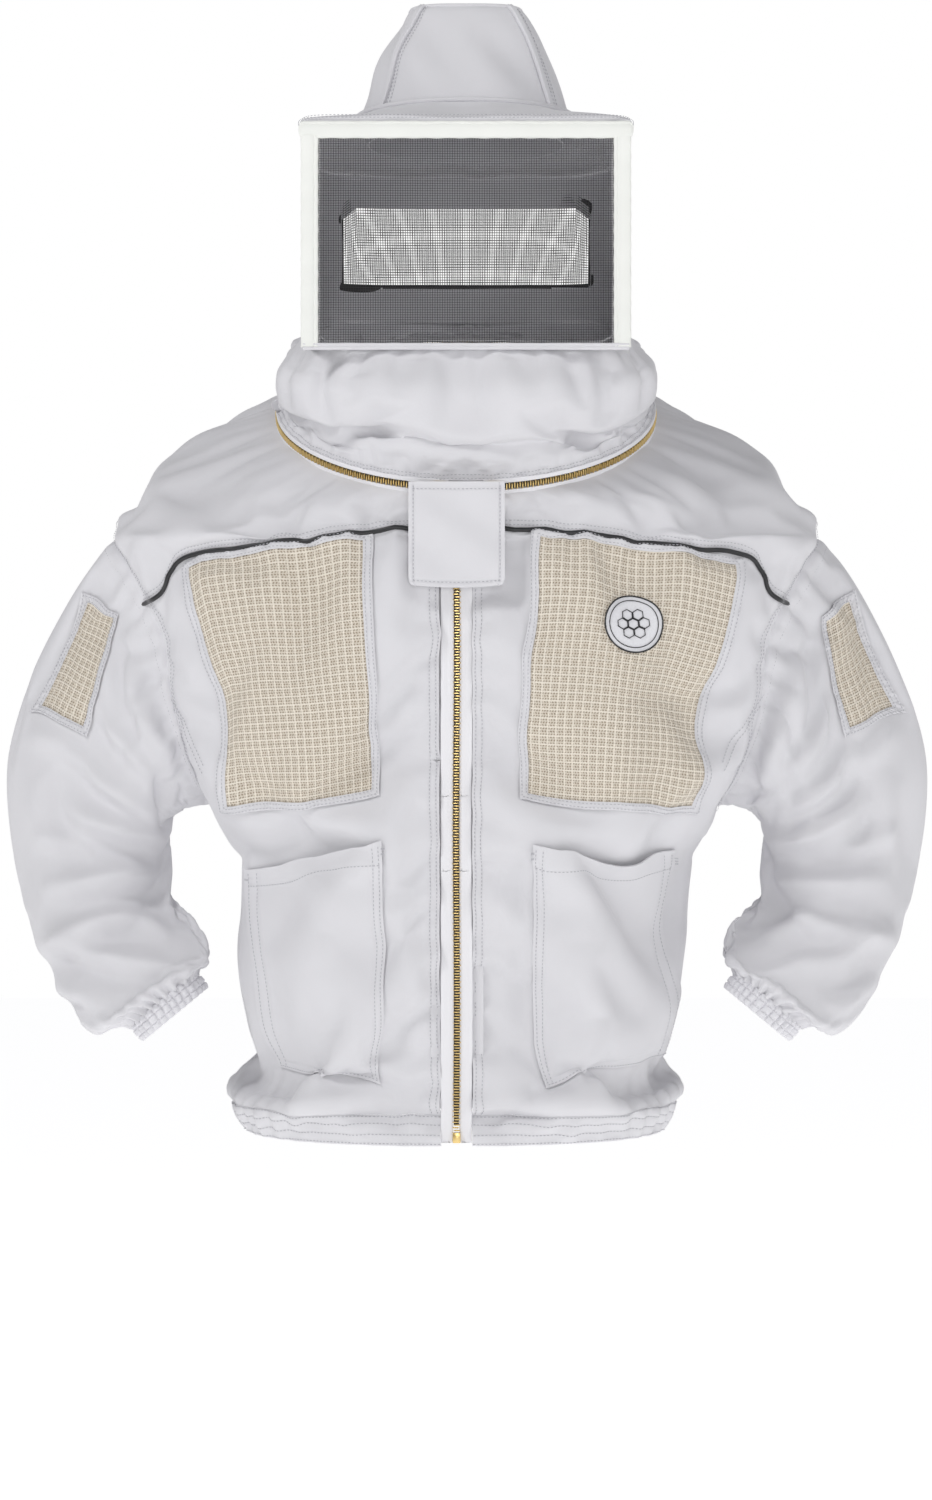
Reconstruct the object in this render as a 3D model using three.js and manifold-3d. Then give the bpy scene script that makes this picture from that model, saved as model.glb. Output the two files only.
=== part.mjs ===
// A ventilated beekeeping jacket with a zip-on square-veil hood.
// Millimetres, +Z up. The garment faces -Y, and "left" and "right" are the wearer's own, so left is +X.
// Heights below are measured from the hem; the finished group is lowered so that the origin lies at
// the centre of the neck ring, which is where the wearer's shoulders carry the garment.
import * as THREE from 'three';
import { mergeVertices } from 'three/addons/utils/BufferGeometryUtils.js';
import Module from 'manifold-3d';

// ---------------------------------------------------------------- driving dimensions
const CLOTH = 2;                 // thickness of the sewn cotton
const GAP = 0.3;                 // clearance between pieces that are sewn or zipped together
const SEGMENTS = 28;             // facets round the body, the collar and the hood
const SLEEVE_SEGMENTS = 20;
const CROWN_SEGMENTS = 24;
const RING_STEPS = 30;

// Jacket body: half width and half depth at each height above the hem.
const HEM_HALF_WIDTH = 188;
const WAIST_HALF_WIDTH = 179;
const HIP_HALF_WIDTH = 195;
const CHEST_HALF_WIDTH = 290;
const SHOULDER_HALF_WIDTH = 313;
const BODY_DEPTH = 300;
const FRONT_Y = -BODY_DEPTH / 2; // the straight line of the front zip lies in this plane
const WAISTBAND_HEIGHT = 27;
const WAIST_HEIGHT = 108;
const UNDERARM_HEIGHT = 288;
const CHEST_HEIGHT = 440;
const SHOULDER_HEIGHT = 538;

// Neck ring: the round zip that joins the hood to the jacket.
const RING_TILT = 28;            // degrees, down towards the front
const RING_RADIUS = BODY_DEPTH / 2 / Math.cos((RING_TILT * Math.PI) / 180); // its front meets the front zip
const RING_HEIGHT = 643;
const RING_CLEARANCE = 6;        // each cloth edge stops this far from the middle of the zip

// Zips
const FRONT_ZIP_X = -8;          // the teeth sit a little to the right of the middle, over the placket
const TOOTH_WIDTH = 6.6;
const TOOTH_DEPTH = 2.4;
const TAPE_WIDTH = 10;
const TAPE_THICKNESS = 1.2;
const PLACKET_WIDTH = 46;
const SLIDER_HEIGHT = 14;
const SLIDER_WIDTH = 9.5;
const PULL_LENGTH = 24;
const NECK_ZIP_START = 5;        // degrees from the middle front to each end of the neck teeth

// Yoke, vents, pockets, badge
const YOKE_HEIGHT = 530;
const YOKE_DROP = 62;            // how far the yoke seam falls at the armhole
const PIPING_RADIUS = 2;
const VENT_TOP = 517;
const VENT_BOTTOM = 296;
const VENT_INNER = 62;
const POCKET_INNER = 64;
const POCKET_OUTER = 182;
const POCKET_TOP = 264;
const POCKET_BOTTOM = 54;
const POCKET_DEPTH = 11;
const BADGE_RADIUS = 24.5;
const BADGE_X = 139;
const BADGE_HEIGHT = 448;

// Flap over the meeting of the zips
const FLAP_WIDTH = 82;
const FLAP_LENGTH = 88;
const FLAP_STANDOFF = 13;        // from the plane of the front zip to the back of the flap

// Sleeves
const CUFF_LENGTH = 17;
const CUFF_HALF_WIDTH = 37;
const ELBOW_Y = 30;
const WRIST_Y = -58;

// Hood
const VEIL_WIDTH = 282;
const VEIL_TOP = 876;
const VEIL_BOTTOM = 682;
const VEIL_Y = -158;             // front face of the bound frame
const BINDING_WIDTH = 15;
const BINDING_DEPTH = 6;
const MESH_THICKNESS = 1.2;
const FRAME_WIRE_RADIUS = 1.5;
const HOOD_DEPTH = 300;
const COLLAR_TILT = 11;          // degrees, tilt of the collar's upper seam
const COLLAR_TOP = 714;          // height of that seam at the middle of the hood
const CROWN_BASE_HEIGHT = 905;
const CROWN_TOP_HEIGHT = 999;
const CROWN_DOME = 5;
const CROWN_BASE_RADIUS = 96;
const CROWN_TOP_RADIUS = 52;
const BRIM_THICKNESS = 3;

// ---------------------------------------------------------------- materials
const finish = (color, roughness, metalness = 0) => new THREE.MeshStandardMaterial({ color, roughness, metalness });
const cotton = finish(0xe3e2e8, 0.9);
const vent = finish(0xece0cb, 0.95);
const elastic = finish(0xf0eff2, 0.85);
const screen = finish(0x16171a, 0.6);
const pipingBlack = finish(0x101012, 0.5);
const tapeWhite = finish(0xe9e8ec, 0.85);
const brass = finish(0xc9a552, 0.35, 1);
const steel = finish(0x9a9a9c, 0.4, 1);
const hook = finish(0xdadade, 0.95);

// ---------------------------------------------------------------- solids
const wasm = await Module();
wasm.setup();

function toSolid(geometry) {
  const bare = geometry.clone();
  bare.deleteAttribute('normal');
  bare.deleteAttribute('uv');
  const merged = mergeVertices(bare, 1e-4);
  const vertProperties = new Float32Array(merged.attributes.position.array);
  const triVerts = new Uint32Array(merged.index.array);
  return new wasm.Manifold(new wasm.Mesh({ numProp: 3, vertProperties, triVerts }));
}

function toGeometry(solid) {
  const { vertProperties, triVerts } = solid.getMesh();
  const geometry = new THREE.BufferGeometry();
  geometry.setAttribute('position', new THREE.BufferAttribute(vertProperties, 3));
  geometry.setIndex(new THREE.BufferAttribute(triVerts, 1));
  const flat = geometry.toNonIndexed();
  flat.computeVertexNormals();
  return flat;
}

// Cutting can leave specks along a seam; the piece itself is the largest body.
function largest(solid) {
  return solid.decompose().sort((a, b) => b.volume() - a.volume())[0];
}

const radians = THREE.MathUtils.degToRad;

// One cross-section of a soft tube: two half-axes round a centre, rounder or squarer with its power.
function oval(centre, across, along, power = 2) {
  return { centre, across, along, power };
}

function grown(sections, distance) {
  return sections.map(({ centre, across, along, power }) => oval(
    centre,
    across.clone().setLength(across.length() + distance),
    along.clone().setLength(along.length() + distance),
    power,
  ));
}

function rim({ centre, across, along, power }, angle) {
  const shape = (value) => (Math.abs(value) < 1e-9 ? 0 : Math.sign(value) * Math.abs(value) ** (2 / power));
  return centre.clone()
    .addScaledVector(across, shape(Math.cos(angle)))
    .addScaledVector(along, shape(Math.sin(angle)));
}

// A closed solid through the sections: a cylinder whose rows are moved onto them.
function loft(sections, segments = SEGMENTS) {
  const rows = sections.length - 1;
  const direction = sections[rows].centre.clone().sub(sections[0].centre);
  const turned = sections[0].across.clone().cross(sections[0].along).dot(direction) < 0 ? -1 : 1;
  const geometry = new THREE.CylinderGeometry(1, 1, 1, segments, rows);
  const position = geometry.attributes.position;
  for (let index = 0; index < position.count; index += 1) {
    const x = position.getX(index);
    const z = position.getZ(index);
    const section = sections[Math.round((position.getY(index) + 0.5) * rows)];
    const onAxis = Math.hypot(x, z) < 0.5;
    const angle = turned * Math.atan2(-z, x);
    const point = onAxis ? section.centre : rim(section, angle);
    position.setXYZ(index, point.x, point.y, point.z);
  }
  return toSolid(geometry);
}

// The same tube carried on past both ends, for cutting a hollow right through.
function lengthened(sections, distance) {
  const end = (from, towards) => {
    const step = from.centre.clone().sub(towards.centre).setLength(distance);
    return oval(from.centre.clone().add(step), from.across, from.along, from.power);
  };
  const last = sections.length - 1;
  return [end(sections[0], sections[1]), ...sections, end(sections[last], sections[last - 1])];
}

function hollow(sections, thickness, segments = SEGMENTS) {
  return loft(sections, segments).subtract(loft(lengthened(grown(sections, -thickness), 12), segments));
}

// A prism whose outline is drawn in the plane across the named axis.
const PRISM_BASIS = {
  x: [new THREE.Vector3(0, 1, 0), new THREE.Vector3(0, 0, 1), new THREE.Vector3(1, 0, 0)],
  y: [new THREE.Vector3(1, 0, 0), new THREE.Vector3(0, 0, 1), new THREE.Vector3(0, -1, 0)],
  z: [new THREE.Vector3(1, 0, 0), new THREE.Vector3(0, 1, 0), new THREE.Vector3(0, 0, 1)],
};

function prism(outline, axis, from, to) {
  const shape = new THREE.Shape(outline.map(([a, b]) => new THREE.Vector2(a, b)));
  const geometry = new THREE.ExtrudeGeometry(shape, { depth: to - from, bevelEnabled: false });
  const basis = PRISM_BASIS[axis];
  geometry.applyMatrix4(new THREE.Matrix4().makeBasis(...basis));
  const start = axis === 'y' ? to : from;
  const offset = { x: 0, y: 0, z: 0, [axis]: start };
  geometry.translate(offset.x, offset.y, offset.z);
  return toSolid(geometry);
}

function block(x0, x1, y0, y1, z0, z1) {
  const geometry = new THREE.BoxGeometry(x1 - x0, y1 - y0, z1 - z0);
  geometry.translate((x0 + x1) / 2, (y0 + y1) / 2, (z0 + z1) / 2);
  return toSolid(geometry);
}

// The outline moved out (or in) by a distance, corner by corner.
function outset(outline, distance) {
  const corners = outline.map(([a, b]) => new THREE.Vector2(a, b));
  const sign = THREE.ShapeUtils.area(corners) > 0 ? 1 : -1;
  return corners.map((corner, index) => {
    const before = corners[(index + corners.length - 1) % corners.length];
    const after = corners[(index + 1) % corners.length];
    const normal = (p, q) => new THREE.Vector2(q.y - p.y, p.x - q.x).normalize().multiplyScalar(sign);
    const first = normal(before, corner);
    const second = normal(corner, after);
    const miter = first.clone().add(second).divideScalar(1 + first.dot(second));
    return [corner.x + miter.x * distance, corner.y + miter.y * distance];
  });
}

const mirrored = (outline, side) => outline.map(([a, b]) => [side * a, b]);
const FAR = 700;

// A round cord along points, cut from a section swept down a curve.
function cordAlong(points, radius, { closed = false, steps = 24, sides = 8 } = {}) {
  const circle = new THREE.Shape();
  circle.absarc(0, 0, radius, 0, Math.PI * 2);
  const section = new THREE.Shape(circle.getPoints(sides).slice(0, sides));
  const path = new THREE.CatmullRomCurve3(points, closed);
  return toSolid(new THREE.ExtrudeGeometry(section, { steps, extrudePath: path }));
}

// ---------------------------------------------------------------- the scene graph
const suit = new THREE.Group();

function add(name, solid, material) {
  const mesh = new THREE.Mesh(toGeometry(largest(solid)), material);
  mesh.name = name;
  suit.add(mesh);
}

// ---------------------------------------------------------------- the neck ring's own frame
// Pieces of the neck zip are bars bent round the ring: angle 0 is the middle front, and the angle grows
// towards the wearer's left. Lift runs along the ring's axis, up towards the hood.
const ringCentre = new THREE.Vector3(0, 0, RING_HEIGHT);
const ringBack = new THREE.Vector3(0, Math.cos(radians(RING_TILT)), Math.sin(radians(RING_TILT)));
const ringUp = new THREE.Vector3(0, -Math.sin(radians(RING_TILT)), Math.cos(radians(RING_TILT)));
const ringLeft = new THREE.Vector3(1, 0, 0);

function ringPoint(degrees, radius, lift) {
  return ringCentre.clone()
    .addScaledVector(ringLeft, radius * Math.sin(radians(degrees)))
    .addScaledVector(ringBack, -radius * Math.cos(radians(degrees)))
    .addScaledVector(ringUp, lift);
}

function ringBar(from, to, [innerRadius, outerRadius], [low, high], steps = RING_STEPS) {
  const geometry = new THREE.BoxGeometry(1, 1, 1, steps, 1, 1);
  const position = geometry.attributes.position;
  for (let index = 0; index < position.count; index += 1) {
    const degrees = THREE.MathUtils.lerp(from, to, position.getX(index) + 0.5);
    const radius = THREE.MathUtils.lerp(outerRadius, innerRadius, position.getY(index) + 0.5);
    const lift = THREE.MathUtils.lerp(low, high, position.getZ(index) + 0.5);
    const point = ringPoint(degrees, radius, lift);
    position.setXYZ(index, point.x, point.y, point.z);
  }
  return toSolid(geometry);
}

function ringSection(radiusAcross, radiusAlong, lift, power = 2) {
  return oval(
    ringCentre.clone().addScaledVector(ringUp, lift),
    ringLeft.clone().multiplyScalar(radiusAcross),
    ringBack.clone().multiplyScalar(radiusAlong),
    power,
  );
}

// ---------------------------------------------------------------- jacket body
const BODY_POWER = 2.3;

// Sections lean forward towards the neck, and all of them reach the plane of the front zip.
function bodySection(height, halfWidth, tilt = 0, power = BODY_POWER) {
  const along = new THREE.Vector3(0, 1, Math.tan(radians(tilt))).multiplyScalar(BODY_DEPTH / 2);
  const centre = new THREE.Vector3(0, FRONT_Y + BODY_DEPTH / 2, height);
  return oval(centre, new THREE.Vector3(halfWidth, 0, 0), along, power);
}

const between = (low, high, share) => THREE.MathUtils.lerp(low, high, share);
const bodySections = [
  bodySection(0, HEM_HALF_WIDTH),
  bodySection(WAISTBAND_HEIGHT, HEM_HALF_WIDTH),
  bodySection(WAIST_HEIGHT, WAIST_HALF_WIDTH),
  bodySection(between(WAIST_HEIGHT, UNDERARM_HEIGHT, 0.35), HIP_HALF_WIDTH - 3),
  bodySection(between(WAIST_HEIGHT, UNDERARM_HEIGHT, 0.8), HIP_HALF_WIDTH),
  bodySection(UNDERARM_HEIGHT, HIP_HALF_WIDTH + 27),
  bodySection(between(UNDERARM_HEIGHT, CHEST_HEIGHT, 0.33), CHEST_HALF_WIDTH - 30),
  bodySection(between(UNDERARM_HEIGHT, CHEST_HEIGHT, 0.65), CHEST_HALF_WIDTH - 8),
  bodySection(CHEST_HEIGHT, CHEST_HALF_WIDTH, 0),
  bodySection(between(CHEST_HEIGHT, SHOULDER_HEIGHT, 0.6), SHOULDER_HALF_WIDTH - 6, 2),
  bodySection(SHOULDER_HEIGHT, SHOULDER_HALF_WIDTH, 8),
  bodySection(between(SHOULDER_HEIGHT, RING_HEIGHT, 0.32), SHOULDER_HALF_WIDTH - 31, 16, 2.1),
  bodySection(between(SHOULDER_HEIGHT, RING_HEIGHT, 0.62), SHOULDER_HALF_WIDTH - 60, 22, 2),
  bodySection(between(SHOULDER_HEIGHT, RING_HEIGHT, 0.82), RING_RADIUS + 42, 26, 2),
  ringSection(RING_RADIUS, RING_RADIUS, -RING_CLEARANCE),
];
const bodyOuter = (distance) => loft(grown(bodySections, distance));

// ---------------------------------------------------------------- sleeves
// Each rib runs from the outer line of the arm to the inner line; its depth is measured along Y.
function rib([outerX, outerZ], [innerX, innerZ], y, halfDepth, side) {
  const outer = new THREE.Vector3(side * outerX, y, outerZ);
  const inner = new THREE.Vector3(side * innerX, y, innerZ);
  const centre = outer.clone().add(inner).multiplyScalar(0.5);
  return oval(centre, outer.sub(inner).multiplyScalar(0.5), new THREE.Vector3(0, halfDepth, 0), 2.1);
}

const shoulderX = SHOULDER_HALF_WIDTH;
function sleeveSections(side) {
  return [
    rib([shoulderX - 60, SHOULDER_HEIGHT - 4], [shoulderX - 120, UNDERARM_HEIGHT + 22], 4, 74, side),
    rib([shoulderX + 2, SHOULDER_HEIGHT - 8], [shoulderX - 76, UNDERARM_HEIGHT + 4], 8, 80, side),
    rib([shoulderX + 40, 476], [shoulderX - 62, 290], 14, 78, side),
    rib([shoulderX + 72, 420], [shoulderX - 50, 284], 20, 76, side),
    rib([shoulderX + 103, 345], [shoulderX - 41, 272], ELBOW_Y, 73, side),
    rib([shoulderX + 98, 262], [shoulderX - 37, 250], ELBOW_Y, 68, side),
    rib([shoulderX + 82, 200], [shoulderX - 44, 214], ELBOW_Y - 22, 64, side),
    rib([shoulderX + 50, 143], [shoulderX - 72, 184], between(ELBOW_Y, WRIST_Y, 0.62), 60, side),
    rib([shoulderX + 24, 106], [shoulderX - 82, 160], between(ELBOW_Y, WRIST_Y, 0.86), 54, side),
    cuffRib(0, side),
  ];
}

// The cuff carries on square to the wrist from the sleeve's end.
const cuffStart = { x: SHOULDER_HALF_WIDTH - 46, z: 119 };
const cuffAcross = new THREE.Vector2(57, -47).normalize();
function cuffRib(distance, side) {
  const x = cuffStart.x + cuffAcross.y * distance;
  const z = cuffStart.z - cuffAcross.x * distance;
  const reach = cuffAcross.clone().multiplyScalar(CUFF_HALF_WIDTH);
  return rib([x + reach.x, z + reach.y], [x - reach.x, z - reach.y], WRIST_Y, CUFF_HALF_WIDTH, side);
}

const sleeveVentOutline = [
  [shoulderX + 27, 483], [shoulderX + 2, 462], [shoulderX + 34, 357], [shoulderX + 84, 386],
];

function makeSleeve(side, name) {
  const sections = sleeveSections(side);
  const tube = hollow(sections, CLOTH, SLEEVE_SEGMENTS).subtract(bodyOuter(GAP));
  const outline = mirrored(sleeveVentOutline, side);
  const window = (distance) => prism(outset(outline, distance), 'y', -200, 10);
  add(`sleeve_${name}`, tube.subtract(window(GAP)), cotton);
  add(`sleeve_vent_${name}`, tube.intersect(window(0)), vent);
  const cuff = [cuffRib(GAP, side), cuffRib(CUFF_LENGTH, side)];
  add(`cuff_${name}`, hollow(cuff, CLOTH, SLEEVE_SEGMENTS), elastic);
  const band = grown([cuffRib(GAP + 3, side), cuffRib(CUFF_LENGTH - 3, side)], -CLOTH - GAP);
  add(`cuff_elastic_${name}`, hollow(band, 1, SLEEVE_SEGMENTS), elastic);
}

const armVoid = (side) => loft(lengthened(grown(sleeveSections(side).slice(0, 4), -CLOTH), 40), SLEEVE_SEGMENTS);

// ---------------------------------------------------------------- jacket panels
const SIDE_SEAM_Y = 12;
const slot = TOOTH_WIDTH / 2 + TAPE_WIDTH + GAP;
const bodyWall = hollow(bodySections, CLOTH).subtract(armVoid(1)).subtract(armVoid(-1));
const frontHalf = bodyWall.intersect(block(-FAR, FAR, -FAR, SIDE_SEAM_Y - GAP / 2, -FAR, 2 * FAR));
const backHalf = bodyWall.intersect(block(-FAR, FAR, SIDE_SEAM_Y + GAP / 2, FAR, -FAR, 2 * FAR));

// The yoke seam runs level across the chest, then drops towards the armhole.
const yokeLine = [
  [0, YOKE_HEIGHT], [60, YOKE_HEIGHT - 2], [110, YOKE_HEIGHT - 6], [150, YOKE_HEIGHT - 12],
  [228, YOKE_HEIGHT - 20], [246, YOKE_HEIGHT - 26], [254, YOKE_HEIGHT - 36],
  [259, YOKE_HEIGHT - 48], [284, YOKE_HEIGHT - YOKE_DROP],
];
const yokeRegion = [
  ...yokeLine, [FAR, YOKE_HEIGHT - YOKE_DROP], [FAR, FAR + 300],
  [-FAR, FAR + 300], [-FAR, YOKE_HEIGHT - YOKE_DROP], ...mirrored(yokeLine, -1).reverse().slice(0, -1),
];
const aboveYoke = prism(yokeRegion, 'y', -FAR, FAR);
const belowYoke = prism(yokeRegion.map(([x, z]) => [x, z - GAP]), 'y', -FAR, FAR);

const ventOutline = [
  [VENT_INNER, VENT_TOP], [150, VENT_TOP - 5], [218, VENT_TOP - 13], [240, VENT_TOP - 37],
  [226, 455], [217, 410], [206, 340], [202, VENT_BOTTOM], [70, VENT_BOTTOM + 6], [67, 420],
];

const bandRegion = (height) => block(-FAR, FAR, -FAR, FAR, -FAR, height);
const sideRegion = (side) => (side > 0
  ? block(FRONT_ZIP_X + slot, FAR, -FAR, FAR, -FAR, 2 * FAR)
  : block(-FAR, FRONT_ZIP_X - slot, -FAR, FAR, -FAR, 2 * FAR));
const backSide = (side) => (side > 0
  ? block(GAP / 2, FAR, -FAR, FAR, -FAR, 2 * FAR)
  : block(-FAR, -GAP / 2, -FAR, FAR, -FAR, 2 * FAR));

function overlay(outline, low, high, from = -FAR, to = 0) {
  return bodyOuter(high).intersect(prism(outline, 'y', from, to)).subtract(bodyOuter(low));
}

function makeFront(side, name) {
  const half = frontHalf.intersect(sideRegion(side));
  const outline = mirrored(ventOutline, side);
  const ventCut = (distance) => prism(outset(outline, distance), 'y', -FAR, 0);
  add(`front_yoke_${name}`, half.intersect(aboveYoke), cotton);
  const lower = half.subtract(belowYoke).subtract(bandRegion(WAISTBAND_HEIGHT + GAP));
  add(`front_panel_${name}`, lower.subtract(ventCut(GAP)), cotton);
  add(`chest_vent_${name}`, lower.intersect(ventCut(0)), vent);
}

function makeWaistband(side, name) {
  const full = hollow(bodySections.slice(0, 2), CLOTH);
  const front = block(-FAR, FAR, -FAR, 0, -FAR, FAR).intersect(sideRegion(side));
  const back = block(-FAR, FAR, -1, FAR, -FAR, FAR).intersect(backSide(side));
  add(`waistband_${name}`, full.intersect(front.add(back)), cotton);
}

function makeWaistElastic() {
  const inner = grown(bodySections.slice(0, 2), -CLOTH - GAP);
  const ring = hollow(inner, 1.2).intersect(block(-FAR, FAR, FRONT_Y / 2, FAR, 4, WAISTBAND_HEIGHT - 4));
  add('waist_elastic', ring, elastic);
}

function makePocket(side, name) {
  const top = POCKET_TOP;
  const outline = mirrored([
    [POCKET_INNER, top], [POCKET_OUTER, top - 16], [POCKET_OUTER, POCKET_BOTTOM + 26],
    [POCKET_OUTER - 60, POCKET_BOTTOM + 2], [POCKET_INNER, POCKET_BOTTOM],
  ], side);
  const hem = 4;
  const cavity = mirrored([
    [POCKET_INNER + hem, top + 20], [POCKET_OUTER - hem, top + 20], [POCKET_OUTER - hem, POCKET_BOTTOM + 30],
    [POCKET_OUTER - 60, POCKET_BOTTOM + 7], [POCKET_INNER + hem, POCKET_BOTTOM + 4],
  ], side);
  const pouch = overlay(outline, GAP, POCKET_DEPTH + CLOTH, -FAR, 20);
  const inside = bodyOuter(POCKET_DEPTH).intersect(prism(cavity, 'y', -FAR, 20));
  add(`pocket_${name}`, pouch.subtract(inside), cotton);
}

function circleOutline(x, z, radius, count = 24) {
  const turn = (index) => (index / count) * Math.PI * 2;
  return Array.from({ length: count }, (_, index) => (
    [x + radius * Math.cos(turn(index)), z + radius * Math.sin(turn(index))]));
}

// Piping lies on the yoke seam, so its points are found by dropping rays onto the body.
const bodyMesh = new THREE.Mesh(toGeometry(bodyOuter(0)), new THREE.MeshBasicMaterial({ side: THREE.DoubleSide }));
function frontPoint(x, z, proud) {
  const ray = new THREE.Raycaster(new THREE.Vector3(x, -FAR, z), new THREE.Vector3(0, 1, 0));
  const hit = ray.intersectObject(bodyMesh)[0].point;
  return new THREE.Vector3(x, hit.y - proud, z);
}

function makePiping(side, name) {
  const start = side > 0 ? FRONT_ZIP_X + slot + 1 : -(FRONT_ZIP_X - slot - 1);
  const line = [[start, YOKE_HEIGHT], ...yokeLine.slice(1, -1)];
  const points = line.map(([x, z]) => frontPoint(side * x, z - GAP / 2, PIPING_RADIUS + 3 * GAP));
  add(`piping_${name}`, cordAlong(points, PIPING_RADIUS, { steps: 20 }).subtract(bodyOuter(GAP)), pipingBlack);
}

function makeJacket() {
  for (const [side, name] of [[1, 'left'], [-1, 'right']]) {
    makeFront(side, name);
    makeWaistband(side, name);
    makePocket(side, name);
    makePiping(side, name);
    makeSleeve(side, name);
  }
  add('back_yoke', backHalf.intersect(aboveYoke), cotton);
  add('back_panel', backHalf.subtract(belowYoke).subtract(bandRegion(WAISTBAND_HEIGHT + GAP)), cotton);
  makeWaistElastic();
  add('chest_badge', overlay(circleOutline(BADGE_X, BADGE_HEIGHT, BADGE_RADIUS), GAP, 1.8), cotton);
}

// ---------------------------------------------------------------- front zip
const zipTop = RING_HEIGHT - RING_RADIUS * Math.sin(radians(RING_TILT)) - RING_CLEARANCE - 4;
const ZIP_BOTTOM = 3;
const BOX_HEIGHT = 9;

function makeFrontZip() {
  const teethFrom = ZIP_BOTTOM + BOX_HEIGHT + GAP;
  for (const [side, name] of [[1, 'left'], [-1, 'right']]) {
    const edges = (a, b) => [FRONT_ZIP_X + side * a, FRONT_ZIP_X + side * b].sort((p, q) => p - q);
    const teeth = edges(0.1, TOOTH_WIDTH / 2);
    const tape = edges(TOOTH_WIDTH / 2 + 0.1, TOOTH_WIDTH / 2 + TAPE_WIDTH);
    const front = FRONT_Y - TOOTH_DEPTH / 2;
    add(`front_zip_teeth_${name}`, block(...teeth, front, front + TOOTH_DEPTH, teethFrom, zipTop), brass);
    add(`front_zip_tape_${name}`, block(...tape, FRONT_Y, FRONT_Y + TAPE_THICKNESS, ZIP_BOTTOM, zipTop), tapeWhite);
  }
  const half = TOOTH_WIDTH / 2;
  add('front_zip_box', block(
    FRONT_ZIP_X - half, FRONT_ZIP_X + half, FRONT_Y - 2.4, FRONT_Y + 1.6, ZIP_BOTTOM, ZIP_BOTTOM + BOX_HEIGHT,
  ), brass);
  const placketY = FRONT_Y + CLOTH + TOOTH_DEPTH;
  const placket = block(
    FRONT_ZIP_X - PLACKET_WIDTH / 2, FRONT_ZIP_X + PLACKET_WIDTH / 2, placketY, placketY + 1.5,
    WAISTBAND_HEIGHT + 4, zipTop - 20,
  );
  add('zip_placket', placket.intersect(bodyOuter(-CLOTH - GAP)), cotton);
}

function makeFrontSlider() {
  const top = zipTop - 4;
  const plate = FRONT_Y - TOOTH_DEPTH / 2 - 0.5;
  const half = SLIDER_WIDTH / 2;
  const body = block(FRONT_ZIP_X - half, FRONT_ZIP_X + half, plate - 1.6, plate, top - SLIDER_HEIGHT, top);
  const loop = block(FRONT_ZIP_X - 1.5, FRONT_ZIP_X + 1.5, plate - 4.6, plate - 1, top - 9, top - 3);
  const eye = block(FRONT_ZIP_X - 2, FRONT_ZIP_X + 2, plate - 3.4, plate - 1.8, top - 7.5, top - 4.5);
  add('front_slider', body.add(loop).subtract(eye), brass);
  const pullTop = top - 4.8;
  const pullY = plate - 3.3;
  const tab = block(FRONT_ZIP_X - 3.5, FRONT_ZIP_X + 3.5, pullY, pullY + 1.3, pullTop - PULL_LENGTH, pullTop);
  const hole = block(FRONT_ZIP_X - 1.8, FRONT_ZIP_X + 1.8, pullY - 2, pullY + 3, pullTop - 8, pullTop - 1.4);
  add('front_slider_pull', tab.subtract(hole), brass);
}

// ---------------------------------------------------------------- neck zip
function makeNeckZip() {
  const [from, to] = [NECK_ZIP_START, 360 - NECK_ZIP_START];
  const tapeRadii = [RING_RADIUS - 1.4, RING_RADIUS];
  const teethRadii = [RING_RADIUS - 1.9, RING_RADIUS + 0.5];
  const toothReach = TOOTH_WIDTH / 2;
  add('neck_zip_tape_jacket', ringBar(from, to, tapeRadii, [GAP - RING_CLEARANCE, -toothReach - 0.1]), tapeWhite);
  add('neck_zip_teeth_jacket', ringBar(from, to, teethRadii, [-toothReach, -0.15]), brass);
  add('neck_zip_teeth_hood', ringBar(from, to, teethRadii, [0.15, toothReach]), brass);
  add('neck_zip_tape_hood', ringBar(from, to, tapeRadii, [toothReach + 0.1, RING_CLEARANCE - GAP]), tapeWhite);
  for (const [side, name] of [[1, 'left'], [-1, 'right']]) {
    const span = [side * (NECK_ZIP_START + 0.5), side * (NECK_ZIP_START + 4.5)].sort((a, b) => a - b);
    const radii = [RING_RADIUS + 1.1, RING_RADIUS + 4.4];
    const pull = [span[0] + 1.2, span[1] - 1.2];
    const body = ringBar(...span, radii, [-SLIDER_WIDTH / 2, SLIDER_WIDTH / 2], 3);
    const tab = ringBar(...pull, [RING_RADIUS + 4, RING_RADIUS + 5.3], [GAP - RING_CLEARANCE, 1], 3);
    add(`neck_slider_${name}`, body.add(tab), brass);
  }
}

// ---------------------------------------------------------------- hood
const hoodHalfWidth = VEIL_WIDTH / 2 - 1;
const hoodHalfDepth = HOOD_DEPTH / 2;
const HOOD_POWER = 5;

function hoodSection(height, tilt, halfWidth, halfDepth, power = HOOD_POWER) {
  const along = new THREE.Vector3(0, Math.cos(radians(tilt)), Math.sin(radians(tilt)));
  return oval(
    new THREE.Vector3(0, 0, height),
    new THREE.Vector3(halfWidth, 0, 0), along.multiplyScalar(halfDepth), power,
  );
}

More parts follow.
